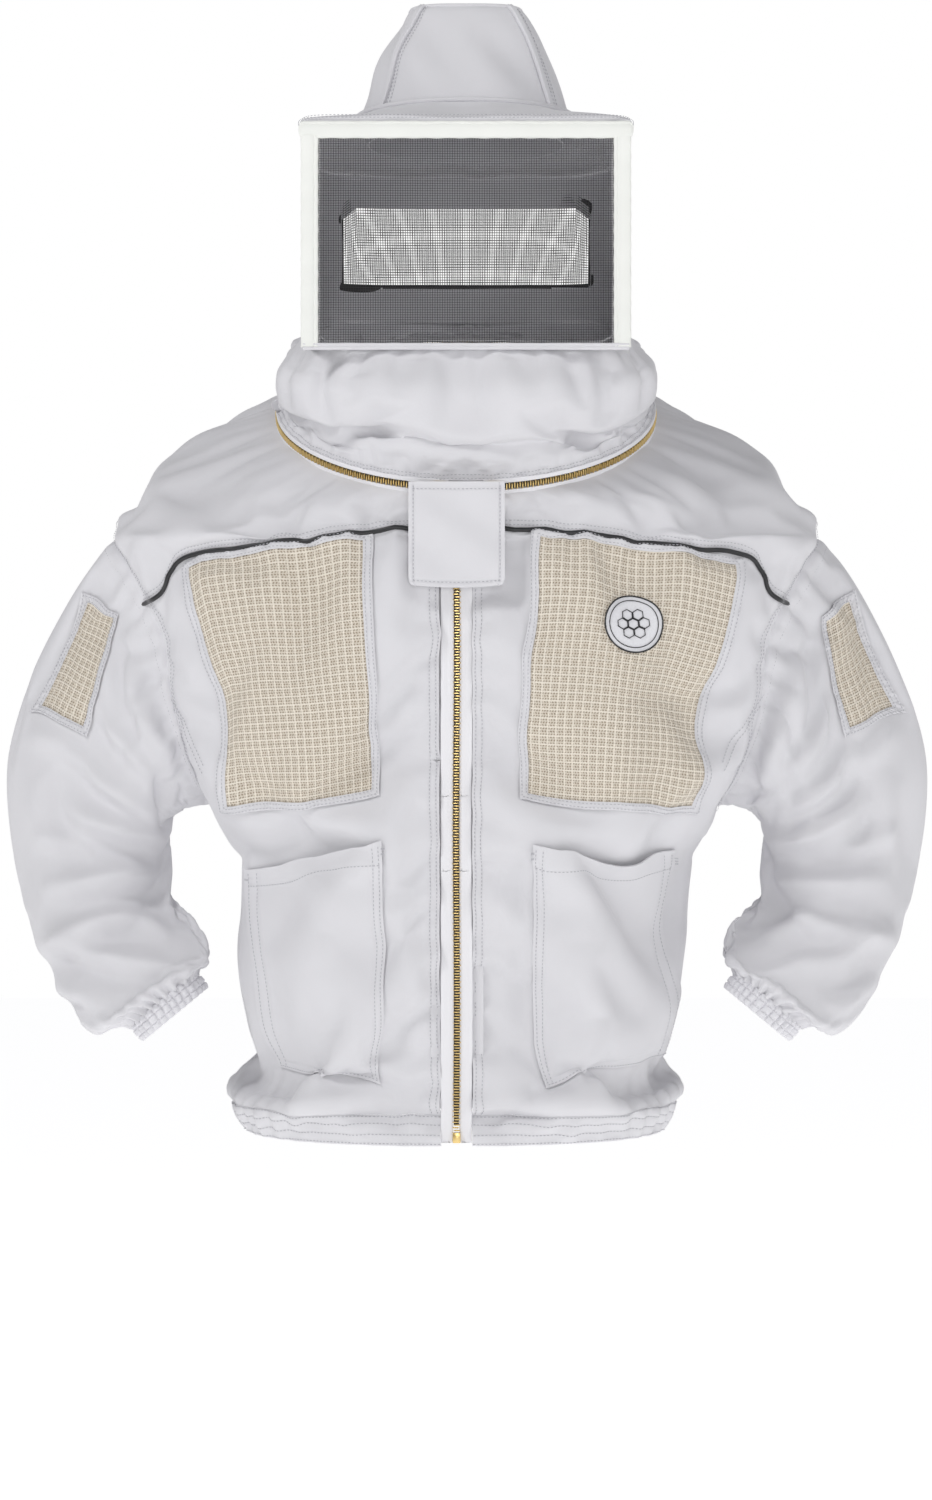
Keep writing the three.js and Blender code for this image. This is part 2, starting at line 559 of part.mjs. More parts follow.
const collarSections = [
  ringSection(RING_RADIUS, RING_RADIUS, RING_CLEARANCE),
  hoodSection(661, 25, RING_RADIUS - 14, hoodHalfDepth + 17, 2.2),
  hoodSection(678, 21, RING_RADIUS - 11, hoodHalfDepth + 16, 2.6),
  hoodSection(697, 16, RING_RADIUS - 14, hoodHalfDepth + 10, 3.2),
  hoodSection(COLLAR_TOP, COLLAR_TILT, hoodHalfWidth + 4, hoodHalfDepth + 2, 4),
];
const wallSections = [
  hoodSection(COLLAR_TOP + GAP, COLLAR_TILT, hoodHalfWidth, hoodHalfDepth),
  hoodSection(790, 5, hoodHalfWidth, hoodHalfDepth),
  hoodSection(VEIL_TOP, 0, hoodHalfWidth, hoodHalfDepth),
];
const brimSections = [
  hoodSection(VEIL_TOP + GAP, 0, hoodHalfWidth + 4, hoodHalfDepth + 5),
  hoodSection(VEIL_TOP + 6, 0, hoodHalfWidth + 4, hoodHalfDepth + 5),
  hoodSection(CROWN_BASE_HEIGHT - 8, 0, CROWN_BASE_RADIUS + 14, CROWN_BASE_RADIUS + 14, 2.4),
  hoodSection(CROWN_BASE_HEIGHT, 0, CROWN_BASE_RADIUS + 1, CROWN_BASE_RADIUS + 1, 2),
];

const sideWindow = [[-128, 742], [-128, 848], [60, 848], [60, 774]];
const REAR_WINDOW = { half: 118, low: 774, high: 851 };

function makeHoodWalls() {
  const frontCut = VEIL_Y + BINDING_DEPTH + 2 * FRAME_WIRE_RADIUS + 3 * GAP;
  const shell = hollow(wallSections, CLOTH).subtract(block(-FAR, FAR, -FAR, frontCut, -FAR, 2 * FAR));
  const corner = 100;
  const rear = shell.intersect(block(-FAR, FAR, corner + GAP, FAR, -FAR, 2 * FAR));
  const rearOutline = [
    [-REAR_WINDOW.half, REAR_WINDOW.low], [REAR_WINDOW.half, REAR_WINDOW.low],
    [REAR_WINDOW.half, REAR_WINDOW.high], [-REAR_WINDOW.half, REAR_WINDOW.high],
  ];
  const rearCut = (distance) => prism(outset(rearOutline, distance), 'y', 0, FAR);
  add('hood_back', rear.subtract(rearCut(GAP)), cotton);
  add('rear_mesh', rear.intersect(rearCut(0)), screen);
  for (const [side, name] of [[1, 'left'], [-1, 'right']]) {
    const reach = side > 0 ? [0, FAR] : [-FAR, 0];
    const panel = shell.intersect(block(...reach, -FAR, corner, -FAR, 2 * FAR));
    const cut = (distance) => prism(outset(sideWindow, distance), 'x', ...reach);
    add(`hood_side_${name}`, panel.subtract(cut(GAP)), cotton);
    add(`side_mesh_${name}`, panel.intersect(cut(0)), screen);
  }
}

function makeVeil() {
  const half = VEIL_WIDTH / 2;
  const back = VEIL_Y + BINDING_DEPTH;
  const post = half - BINDING_WIDTH;
  const top = VEIL_TOP - BINDING_WIDTH;
  const bottom = VEIL_BOTTOM + BINDING_WIDTH;
  add('veil_binding_top', block(-half - 2, half + 2, VEIL_Y, back, top, VEIL_TOP), cotton);
  add('veil_binding_bottom', block(-half, half, VEIL_Y, back, VEIL_BOTTOM, bottom), cotton);
  add('veil_binding_left', block(post, half, VEIL_Y, back, bottom + GAP, top - GAP), cotton);
  add('veil_binding_right', block(-half, -post, VEIL_Y, back, bottom + GAP, top - GAP), cotton);
  const meshY = VEIL_Y + BINDING_DEPTH / 2;
  add('veil_screen', block(
    -post + GAP, post - GAP, meshY, meshY + MESH_THICKNESS, bottom + GAP, top - GAP,
  ), screen);
  const wireY = back + GAP + FRAME_WIRE_RADIUS;
  const inset = BINDING_WIDTH / 2;
  const turn = 14;
  const [x, low, high] = [half - inset, VEIL_BOTTOM + inset, VEIL_TOP - inset];
  const corners = [
    [-x + turn, low], [0, low], [x - turn, low], [x - 4, low + 4], [x, low + turn], [x, (low + high) / 2],
    [x, high - turn], [x - 4, high - 4], [x - turn, high], [0, high], [-x + turn, high], [-x + 4, high - 4],
    [-x, high - turn], [-x, (low + high) / 2], [-x, low + turn], [-x + 4, low + 4],
  ];
  const path = corners.map(([px, pz]) => new THREE.Vector3(px, wireY, pz));
  const wire = cordAlong(path, FRAME_WIRE_RADIUS, { closed: true, steps: 48, sides: 6 });
  add('veil_frame_wire', wire, steel);
}

function makeCrown() {
  const base = CROWN_BASE_HEIGHT + GAP;
  const wall = [
    new THREE.Vector2(CROWN_BASE_RADIUS - CLOTH, base), new THREE.Vector2(CROWN_BASE_RADIUS, base),
    new THREE.Vector2(CROWN_TOP_RADIUS, CROWN_TOP_HEIGHT), new THREE.Vector2(CROWN_TOP_RADIUS - CLOTH, CROWN_TOP_HEIGHT),
  ];
  const lathe = (profile, count) => toSolid(new THREE.LatheGeometry(profile, count).rotateX(Math.PI / 2));
  const cone = lathe([...wall, wall[0]], CROWN_SEGMENTS);
  const reach = 2 * FAR;
  const quarters = {
    crown_front: [[0, 0], [-reach, -reach], [reach, -reach]],
    crown_left: [[0, 0], [reach, -reach], [reach, reach]],
    crown_back: [[0, 0], [reach, reach], [-reach, reach]],
    crown_right: [[0, 0], [-reach, reach], [-reach, -reach]],
  };
  for (const [name, wedge] of Object.entries(quarters)) {
    add(name, cone.intersect(prism(outset(wedge, -GAP / 2), 'z', 0, reach)), cotton);
  }
  const rise = CROWN_TOP_HEIGHT + GAP;
  const top = [
    new THREE.Vector2(0, rise), new THREE.Vector2(CROWN_TOP_RADIUS - 1, rise),
    new THREE.Vector2(CROWN_TOP_RADIUS - 1, rise + 1), new THREE.Vector2(CROWN_TOP_RADIUS * 0.6, rise + CROWN_DOME * 0.8),
    new THREE.Vector2(0, rise + CROWN_DOME),
  ];
  add('crown_top', lathe(top, CROWN_SEGMENTS), cotton);
  const bandTop = CROWN_BASE_HEIGHT - GAP;
  const radius = CROWN_BASE_RADIUS - CLOTH - 4;
  const band = [
    new THREE.Vector2(radius - 1.5, bandTop - 22), new THREE.Vector2(radius, bandTop - 22),
    new THREE.Vector2(radius, bandTop), new THREE.Vector2(radius - 1.5, bandTop),
  ];
  add('sweatband', lathe([...band, band[0]], CROWN_SEGMENTS), elastic);
}

function makeHood() {
  add('hood_collar', hollow(collarSections, CLOTH), cotton);
  makeHoodWalls();
  makeVeil();
  add('hood_brim', hollow(brimSections, BRIM_THICKNESS), cotton);
  makeCrown();
}

// ---------------------------------------------------------------- flap and its hook-and-loop pads
function makeFlap() {
  const back = FRONT_Y - FLAP_STANDOFF;
  const top = zipTop + 14;
  const bottom = top - FLAP_LENGTH;
  const half = FLAP_WIDTH / 2;
  const round = 8;
  const outline = [
    [-half, top], [-half, bottom + round], [-half + round, bottom], [half - round, bottom],
    [half, bottom + round], [half, top],
  ].map(([x, z]) => [x + FRONT_ZIP_X, z]);
  add('neck_flap', prism(outline, 'y', back - CLOTH, back), cotton);
  const padHalf = 26;
  const padLow = bottom + 8;
  const padHigh = bottom + 28;
  const padOutline = [[-padHalf, padLow], [padHalf, padLow], [padHalf, padHigh], [-padHalf, padHigh]]
    .map(([x, z]) => [x + FRONT_ZIP_X, z]);
  add('flap_hook_pad', prism(padOutline, 'y', back + GAP, back + GAP + 1.5), hook);
}

makeJacket();
makeFrontZip();
makeFrontSlider();
makeNeckZip();
makeHood();
makeFlap();
suit.position.z = -RING_HEIGHT;

export default suit;
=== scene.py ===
# %% [markdown]
# # A ventilated beekeeping jacket with a zip-on veil hood
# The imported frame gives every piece's place. This file makes the looks round it: draped cloth, netting,
# zips with their teeth, piping, stitching and the finishes. Left and right are the wearer's own.

# %% The frame
import math

import bpy
import numpy as np
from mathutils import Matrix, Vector


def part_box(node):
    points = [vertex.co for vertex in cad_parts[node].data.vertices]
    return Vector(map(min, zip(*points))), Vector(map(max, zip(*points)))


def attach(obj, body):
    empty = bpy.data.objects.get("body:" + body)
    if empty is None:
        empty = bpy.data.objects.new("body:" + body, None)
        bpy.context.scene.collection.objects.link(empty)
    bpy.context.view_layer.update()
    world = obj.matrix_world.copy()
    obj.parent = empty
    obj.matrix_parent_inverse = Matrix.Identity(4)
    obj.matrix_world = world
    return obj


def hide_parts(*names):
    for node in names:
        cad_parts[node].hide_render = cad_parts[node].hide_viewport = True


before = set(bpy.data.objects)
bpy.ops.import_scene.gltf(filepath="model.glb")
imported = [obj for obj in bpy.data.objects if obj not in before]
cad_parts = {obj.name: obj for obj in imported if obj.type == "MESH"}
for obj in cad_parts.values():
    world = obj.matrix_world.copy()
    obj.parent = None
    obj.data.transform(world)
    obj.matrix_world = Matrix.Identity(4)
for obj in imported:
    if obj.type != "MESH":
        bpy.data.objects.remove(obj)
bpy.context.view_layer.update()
MM = 0.001
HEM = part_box("waistband_left")[0][2]


def deselect():
    bpy.ops.object.select_all(action="DESELECT")


def pick(piece):
    """Make one piece the selected and active one."""
    deselect()
    bpy.context.view_layer.objects.active = piece
    piece.select_set(True)


# %% [markdown]
# ## Camera, floor and light
# A long lens held level at waist height keeps the garment's verticals straight. The floor is a pale sweep
# far below the hem, because the garment is held up by its wearer and rests on nothing.

# %% Camera
CAMERA_DISTANCE = 3.0
CAMERA_HEIGHT = 0.339           # above the hem
bpy.ops.object.camera_add(location=(0, -CAMERA_DISTANCE, HEM + CAMERA_HEIGHT), rotation=(math.pi / 2, 0, 0))
camera = bpy.context.object
camera.data.lens = 80
camera.data.sensor_width = 36
bpy.context.scene.camera = camera

# %% Floor and light
FLOOR_DROP = 1.0                # the floor lies this far below the hem


def plain_material(name, colour, roughness):
    material = bpy.data.materials.new(name)
    material.use_nodes = True
    shader = material.node_tree.nodes["Principled BSDF"]
    shader.inputs["Base Color"].default_value = (*colour, 1)
    shader.inputs["Roughness"].default_value = roughness
    return material


def make_stage():
    deselect()
    bpy.ops.mesh.primitive_plane_add(size=30, location=(0, 0, HEM - FLOOR_DROP))
    floor = bpy.context.object
    floor.name = "floor"
    pale = plain_material("pale_floor", (0.93, 0.93, 0.93), 0.9)
    shader = pale.node_tree.nodes["Principled BSDF"]
    shader.inputs["Emission Color"].default_value = (1, 1, 1, 1)
    shader.inputs["Emission Strength"].default_value = 0.74
    floor.data.materials.append(pale)
    world = bpy.context.scene.world or bpy.data.worlds.new("studio")
    bpy.context.scene.world = world
    world.use_nodes = True
    tree = world.node_tree
    sky = tree.nodes["Background"]
    sky.inputs["Color"].default_value = (0.97, 0.97, 1.0, 1)
    sky.inputs["Strength"].default_value = 0.27
    paper = tree.nodes.new("ShaderNodeBackground")
    paper.inputs["Color"].default_value = (1, 1, 1, 1)
    mix = tree.nodes.new("ShaderNodeMixShader")
    seen = tree.nodes.new("ShaderNodeLightPath")
    tree.links.new(seen.outputs["Is Camera Ray"], mix.inputs[0])
    tree.links.new(sky.outputs[0], mix.inputs[1])
    tree.links.new(paper.outputs[0], mix.inputs[2])
    tree.links.new(mix.outputs[0], tree.nodes["World Output"].inputs["Surface"])


def area_light(name, place, aim, size, power):
    bpy.ops.object.light_add(type="AREA", location=place)
    light = bpy.context.object
    light.name = name
    light.data.size = size
    light.data.energy = power
    direction = Vector(aim) - Vector(place)
    light.rotation_euler = direction.to_track_quat("-Z", "Y").to_euler()


make_stage()
area_light("key_light", (-2.3, -1.9, 2.5), (0, 0, 0), 0.8, 52)
area_light("side_light", (2.9, -1.6, 1.2), (0, 0, -0.2), 1.2, 20)
area_light("front_light", (0.3, -3.4, 0.1), (0, 0, 0.15), 0.8, 20)
bpy.context.scene.view_settings.view_transform = "Standard"

# %% [markdown]
# ## Soft tubes
# The body, the sleeves and the hood are all tubes of cloth through oval sections. The body, the sleeves and
# the hood's collar are first laid out as they were cut, then draped by Blender's cloth solver: their edges
# are held where they are sewn, the cloth gets a little more length than the form under it needs, and that
# spare length buckles into folds.

# %% Tubes through oval sections
def smooth_through(values, stations, places):
    """Catmull-Rom through rows of values."""
    step = np.clip(np.searchsorted(stations, places, side="right") - 1, 0, len(stations) - 2)
    last = len(stations) - 1
    before, after = np.maximum(step - 1, 0), np.minimum(step + 2, last)
    span = (stations[step + 1] - stations[step])[..., None]
    t = ((places - stations[step]) / (stations[step + 1] - stations[step]))[..., None]
    p0, p1, p2, p3 = values[before], values[step], values[step + 1], values[after]
    gap_in = np.maximum(stations[step + 1] - stations[before], 1e-9)[..., None]
    gap_out = np.maximum(stations[after] - stations[step], 1e-9)[..., None]
    m1, m2 = (p2 - p0) / gap_in * span, (p3 - p1) / gap_out * span
    return ((2 * t**3 - 3 * t**2 + 1) * p1 + (t**3 - 2 * t**2 + t) * m1
            + (3 * t**2 - 2 * t**3) * p2 + (t**3 - t**2) * m2)


def bell(distance, width):
    """A smooth bump: 1 at its middle, next to nothing two widths away."""
    return np.exp(-((distance / width) ** 2))


def swelling(share, power):
    """Nothing at both ends and fullest in the middle."""
    return np.sin(math.pi * np.clip(share, 0, 1)) ** power


def lattice(columns, rows, around=(0, 1), along=(0, 1)):
    """Places round and along a surface, evenly spaced."""
    return np.meshgrid(np.linspace(*around, columns), np.linspace(*along, rows))


class Tube:
    """Oval sections: a centre, two half-axes and how square each one is."""

    def __init__(self, sections, start=-90):
        rows = [[*centre, *across, *along, power] for centre, across, along, power in sections]
        self.table = np.array(rows)
        reach = np.linalg.norm(np.diff(self.table[:, :3], axis=0), axis=1)
        self.stations = np.concatenate([[0], np.cumsum(reach)])
        self.length = self.stations[-1]
        self.stations = self.stations / self.length
        self.start = math.radians(start)

    def point(self, angle, along):
        row = smooth_through(self.table, self.stations, np.asarray(along, float))
        power = 2 / row[..., 9]
        cosine, sine = np.cos(angle), np.sin(angle)
        wide = np.sign(cosine) * np.abs(cosine) ** power
        deep = np.sign(sine) * np.abs(sine) ** power
        return row[..., 0:3] + row[..., 3:6] * wide[..., None] + row[..., 6:9] * deep[..., None]

    def grid(self, columns, rows):
        """Points evenly spaced round each row, the first column repeated at the end."""
        fine = self.start + np.linspace(0, 2 * math.pi, 361)
        made = []
        for along in np.linspace(0, 1, rows):
            ring = self.point(fine, np.full(361, along))
            walked = np.concatenate([[0], np.cumsum(np.linalg.norm(np.diff(ring, axis=0), axis=1))])
            places = np.linspace(0, walked[-1], columns + 1)
            made.append(np.stack([np.interp(places, walked, ring[:, k]) for k in range(3)], axis=1))
        return np.array(made)


# %% Meshes from a grid of points
def grid_mesh(name, points, closed=False, flip=False):
    """A primitive grid whose vertices are moved onto the points, sewn shut where the tube closes."""
    rows, columns = points.shape[:2]
    deselect()
    bpy.ops.mesh.primitive_grid_add(x_subdivisions=columns - 1, y_subdivisions=rows - 1, size=1)
    piece = bpy.context.object
    piece.name = piece.data.name = name
    piece.data.vertices.foreach_set("co", points.reshape(-1).astype(np.float32))
    lay_uv(piece, points)
    if closed:
        edit(piece, lambda: bpy.ops.mesh.remove_doubles(threshold=1e-5))
    if flip:
        edit(piece, lambda: bpy.ops.mesh.flip_normals())
    piece.data.update()
    return piece


def tube_mesh(name, points, flip=False):
    """A grid that goes once round a tube: its last column is its first again."""
    points[:, -1] = points[:, 0]
    return grid_mesh(name, points, closed=True, flip=flip)


def lay_uv(piece, points):
    """The piece's own UV map, in metres of cloth, so that weaves keep their scale."""
    across = np.linalg.norm(np.diff(points, axis=1), axis=2).mean(axis=0)
    up = np.linalg.norm(np.diff(points, axis=0), axis=2).mean(axis=1)
    u = np.concatenate([[0], np.cumsum(across)])
    v = np.concatenate([[0], np.cumsum(up)])
    flat = np.stack(np.meshgrid(u, v), axis=-1).reshape(-1, 2)
    corner = np.zeros(len(piece.data.loops), np.int32)
    piece.data.loops.foreach_get("vertex_index", corner)
    piece.data.uv_layers[0].data.foreach_set("uv", flat[corner].reshape(-1).astype(np.float32))


def edit(piece, *steps):
    pick(piece)
    bpy.ops.object.mode_set(mode="EDIT")
    bpy.ops.mesh.select_all(action="SELECT")
    for step in steps:
        step()
    bpy.ops.object.mode_set(mode="OBJECT")


def apply_modifier(piece, kind, **settings):
    modifier = piece.modifiers.new(kind.lower(), kind)
    for name, value in settings.items():
        setattr(modifier, name, value)
    pick(piece)
    bpy.ops.object.modifier_apply(modifier=modifier.name)


# %% Draping
def drape(name, rest, held, slack, frames=24, pressure=1.2, gravity=0.25, bending=6.0, cap=0.02):
    """Runs the cloth solver on a closed tube of points and gives the points back where they came to rest."""
    rows, columns = rest.shape[:2]
    sim = grid_mesh(name, rest)
    first = [row * columns + column for row in range(rows) for column in (0, columns - 1)]
    pin = sim.vertex_groups.new(name="held")
    for index, weight in enumerate(held.reshape(-1)):
        if weight > 0.01:
            pin.add([index], float(weight), "REPLACE")
    pin.add(first, 1.0, "REPLACE")
    cloth = sim.modifiers.new("cloth", "CLOTH")
    settings = cloth.settings
    settings.quality = 5
    settings.mass = 0.25
    settings.tension_stiffness = 20
    settings.compression_stiffness = 20
    settings.shear_stiffness = 6
    settings.bending_stiffness = bending
    settings.shrink_min = -slack
    settings.vertex_group_mass = "held"
    settings.use_pressure = pressure > 0
    settings.uniform_pressure_force = pressure
    settings.effector_weights.gravity = gravity
    cloth.point_cache.frame_start = 1
    cloth.point_cache.frame_end = frames
    scene = bpy.context.scene
    for step in range(1, frames + 1):
        scene.frame_set(step)
    shown = sim.evaluated_get(bpy.context.evaluated_depsgraph_get())
    settled = np.zeros(rows * columns * 3, np.float32)
    shown.data.vertices.foreach_get("co", settled)
    scene.frame_set(1)
    bpy.data.objects.remove(sim, do_unlink=True)
    moved = settled.reshape(rows, columns, 3).astype(float) - rest
    size = np.maximum(np.linalg.norm(moved, axis=2, keepdims=True), 1e-9)
    moved *= cap * np.tanh(size / cap) / size
    print(name, "moved", round(float(np.linalg.norm(moved, axis=2).mean()) * 1000, 1), "mm on average")
    return rest + moved


class Drape:
    """A draped surface: its grid of points, read smoothly at any place on it."""

    def __init__(self, points):
        self.points = points
        self.rows, self.columns = points.shape[:2]
        self.closed = np.allclose(points[:, 0], points[:, -1], atol=1e-6)
        wide = self.padded(points.swapaxes(0, 1), self.closed).swapaxes(0, 1)
        self.net = self.padded(wide, False)

    @staticmethod
    def padded(lines, closed):
        """One more line at each end: the neighbour round the tube, or the edge carried straight on."""
        first = lines[-2] if closed else 2 * lines[0] - lines[1]
        last = lines[1] if closed else 2 * lines[-1] - lines[-2]
        return np.concatenate([first[None], lines, last[None]])

    def place(self, around, along):
        around = np.asarray(around, float) % 1.0 if self.closed else np.clip(around, 0, 1)
        x = around * (self.columns - 1)
        y = np.clip(np.asarray(along, float), 0, 1) * (self.rows - 1)
        column = np.minimum(np.floor(x).astype(int), self.columns - 2)
        row = np.minimum(np.floor(y).astype(int), self.rows - 2)
        fx, fy = (x - column)[..., None], (y - row)[..., None]
        total = 0
        for dy, wy in enumerate(self.weights(fy)):
            for dx, wx in enumerate(self.weights(fx)):
                total = total + wy * wx * self.net[row + dy, column + dx]
        return total

    @staticmethod
    def weights(t):
        """Cubic B-spline weights: they also take the solver's finest ripples out."""
        return ((1 - t) ** 3 / 6, (3 * t**3 - 6 * t**2 + 4) / 6,
                (-3 * t**3 + 3 * t**2 + 3 * t + 1) / 6, t**3 / 6)

    def normal(self, around, along, step=0.004):
        side = self.place(np.asarray(around) + step, along) - self.place(np.asarray(around) - step, along)
        up = self.place(around, np.asarray(along) + step) - self.place(around, np.asarray(along) - step)
        out = np.cross(side, up)
        return out / np.maximum(np.linalg.norm(out, axis=-1, keepdims=True), 1e-9)

    def at(self, around, along, lift=0.0):
        lift = np.asarray(lift, float)[..., None]
        return self.place(around, along) + self.normal(around, along) * lift


# %% [markdown]
# ## The jacket's body
# The sections follow the frame: hem, waist, hips, chest, shoulders and the tilted neck ring.

# %% Body form
RING_TILT = math.radians(28)
RING_RADIUS = 0.170
FRONT_ZIP_X = 0.5 * (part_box("front_zip_box")[0][0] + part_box("front_zip_box")[1][0])
ring_back = np.array([0, math.cos(RING_TILT), math.sin(RING_TILT)])
ring_up = np.array([0, -math.sin(RING_TILT), math.cos(RING_TILT)])


def soft_edge(distance, width):
    return np.clip(1 - distance / width, 0, 1)


def body_section(height, half_width, tilt=0.0, power=2.3, shift=0.0):
    along = (0, 0.150, 0.150 * math.tan(math.radians(tilt)))
    return (shift, 0, HEM + height), (half_width, 0, 0), along, power


def ring_section(across, deep, lift, power=2.0):
    return ring_up * lift, (across, 0, 0), ring_back * deep, power


BODY_SECTIONS = [
    body_section(0.000, 0.187, shift=-0.010),
    body_section(0.027, 0.187, shift=-0.010),
    body_section(0.070, 0.177, shift=-0.008),
    body_section(0.108, 0.177, shift=-0.006),
    body_section(0.171, 0.186, shift=-0.003),
    body_section(0.252, 0.194),
    body_section(0.288, 0.222),
    body_section(0.338, 0.260),
    body_section(0.387, 0.282),
    body_section(0.440, 0.290),
    body_section(0.499, 0.307, 2),
    body_section(0.538, 0.312, 8),
    body_section(0.572, 0.282, 16, 2.1),
    body_section(0.603, 0.253, 22, 2.0),
    body_section(0.624, 0.212, 26, 2.0),
    ring_section(RING_RADIUS, RING_RADIUS, -0.006),
]
body_form = Tube(BODY_SECTIONS)
BODY_COLUMNS, BODY_ROWS = 150, 72
body_rest = body_form.grid(BODY_COLUMNS, BODY_ROWS)


YOKE_LINE = np.array([(0, 530), (60, 528), (110, 524), (150, 518), (190, 514), (228, 510),
                      (246, 504), (254, 494), (259, 482), (268, 474), (284, 468)]) * MM
YOKE_LINE = smooth_through(YOKE_LINE, np.linspace(0, 1, len(YOKE_LINE)), np.linspace(0, 1, 90))


def yoke_gap(x, height):
    """How far a height lies from the yoke seam."""
    return np.abs(height - np.interp(np.abs(x), YOKE_LINE[:, 0], YOKE_LINE[:, 1]))


def body_held(points):
    """How firmly each point of the body is held: at the neck, the hem, the zip and the armholes."""
    along = np.linspace(0, 1, points.shape[0])[:, None]
    held = np.maximum(soft_edge(along, 0.03), soft_edge(1 - along, 0.03)) * np.ones(points.shape[:2])
    zip_gap = np.abs(points[..., 0] - FRONT_ZIP_X) + 10 * np.maximum(points[..., 1] + 0.1, 0)
    held = np.maximum(held, soft_edge(zip_gap, 0.012))
    held = np.maximum(held, 0.7 * soft_edge(yoke_gap(points[..., 0], points[..., 2] - HEM), 0.016))
    return np.where(arm_depth(points) < 1.12, 1.0, held)


def arm_depth(points):
    """1 on the armhole seam, less inside it and more outside it."""
    centre = np.array([0.275, 0.008, HEM + 0.411])
    x = np.abs(points[..., 0]) - centre[0]
    along = (x * 0.305 + (points[..., 2] - centre[2]) * 0.952) / 0.125
    deep = (points[..., 1] - centre[1]) / 0.080
    near = np.abs(points[..., 0]) > 0.17
    return np.where(near, np.hypot(along, deep), 9.0)


def creased(settled, rest, lines, calm=lambda x, height: 1.0):
    """The draped cloth with soft folds added: each runs between two places seen from the front."""
    surface = Drape(settled)
    rows, columns = settled.shape[:2]
    around, along = lattice(columns, rows)
    seen = np.stack([rest[..., 0], rest[..., 2] - HEM], axis=-1)
    total = np.zeros(seen.shape[:2])
    for start, end, width, height in lines:
        start, end = np.array(start) * MM, np.array(end) * MM
        run = end - start
        length = np.linalg.norm(run)
        forward = (seen - start) @ (run / length) / length
        across = ((seen - start) @ (np.array([-run[1], run[0]]) / length)) / (width * MM)
        across = across + 0.35 * np.sin(forward * 5)
        taper = swelling(forward, 0.8)
        total += height * MM * taper * (np.exp(-across**2) - 0.55 * np.exp(-((across - 1.7) ** 2)))
    total *= np.clip(-rest[..., 1] / 0.05 + 0.4, 0, 1) * calm(seen[..., 0], seen[..., 1])
    points = settled + surface.normal(around, along) * total[..., None]
    points[:, -1] = points[:, 0]
    return Drape(points)


BODY_CREASES = [
    ((-222, 345), (-130, 240), 12, 7), ((-205, 300), (-100, 200), 10, 5), ((-186, 200), (-172, 80), 13, 6),
    ((-60, 290), (-36, 60), 10, 4), ((-150, 66), (-70, 40), 9, 5), ((-120, 190), (-150, 90), 14, 4),
    ((218, 340), (120, 255), 12, 7), ((200, 300), (150, 170), 11, 5), ((186, 200), (158, 100), 13, 6),
    ((34, 290), (30, 70), 10, 4), ((70, 44), (165, 72), 9, 5), ((110, 200), (90, 90), 14, 4),
    ((-130, 600), (-245, 545), 14, 5), ((140, 605), (240, 548), 14, 5), ((-90, 560), (-190, 530), 12, 3),
    ((80, 560), (170, 535), 12, 3), ((-150, 500), (-130, 380), 16, 3), ((140, 400), (120, 310), 16, 3),
]
body = creased(drape("body_drape", body_rest, body_held(body_rest), slack=0.105, pressure=0.9, bending=4.0),
               body_rest, BODY_CREASES, lambda x, height: 1 - np.exp(-((yoke_gap(x, height) / 0.022) ** 2)))


# %% [markdown]
# ## Finishes
# Shader maths is written as plain expressions on sockets: a small class wraps a socket, and adding or
# multiplying two of them adds the nodes. Every cloth reads its own UV map, which is in metres of cloth.

# %% Expressions on sockets
class Wire:
    """A node socket that can be used in arithmetic."""

    def __init__(self, tree, socket):
        self.tree, self.socket = tree, socket

    def math(self, operation, *others):
        made = self.tree.nodes.new("ShaderNodeMath")
        made.operation = operation
        for slot, value in zip(made.inputs, (self, *others)):
            plug(self.tree, slot, value)
        return Wire(self.tree, made.outputs[0])

    def __add__(self, other):
        return self.math("ADD", other)

    def __mul__(self, other):
        return self.math("MULTIPLY", other)

    def __sub__(self, other):
        return self.math("SUBTRACT", other)

    def __truediv__(self, other):
        return self.math("DIVIDE", other)

    def __rsub__(self, other):
        made = self.tree.nodes.new("ShaderNodeMath")
        made.operation = "SUBTRACT"
        plug(self.tree, made.inputs[0], other)
        plug(self.tree, made.inputs[1], self)
        return Wire(self.tree, made.outputs[0])

    __radd__ = __add__
    __rmul__ = __mul__


def plug(tree, slot, value):
    if isinstance(value, Wire):
        tree.links.new(value.socket, slot)
    else:
        slot.default_value = value


def add_node(tree, kind, settings, values, output=0):
    """Any other node: its settings first, then its sockets' values or links."""
    made = tree.nodes.new(kind)
    for name, value in settings.items():
        if name == "stops":
            ramp = made.color_ramp.elements
            for index, (place, colour) in enumerate(value):
                stop = ramp[index] if index < len(ramp) else ramp.new(place)
                stop.position, stop.color = place, (*colour, 1)
        else:
            setattr(made, name, value)
    for name, value in values.items():
        plug(tree, made.inputs[name.replace("_", " ")], value)
    return Wire(tree, made.outputs[output])


def new_material(name, colour, roughness, metallic=0.0, sheen=0.0):
    material = plain_material(name, colour, roughness)
    shader = material.node_tree.nodes["Principled BSDF"]
    shader.inputs["Metallic"].default_value = metallic
    shader.inputs["Sheen Weight"].default_value = sheen
    shader.inputs["Sheen Roughness"].default_value = 0.4
    return material, material.node_tree, shader


def uv_parts(tree, turn=0.0):
    """The two directions along the cloth, in metres, turned by an angle."""
    place = add_node(tree, "ShaderNodeUVMap", {}, {})
    turned = add_node(tree, "ShaderNodeMapping", {}, {"Vector": place, "Rotation": (0, 0, turn)})
    split = tree.nodes.new("ShaderNodeSeparateXYZ")
    tree.links.new(turned.socket, split.inputs[0])
    return Wire(tree, split.outputs[0]), Wire(tree, split.outputs[1]), turned


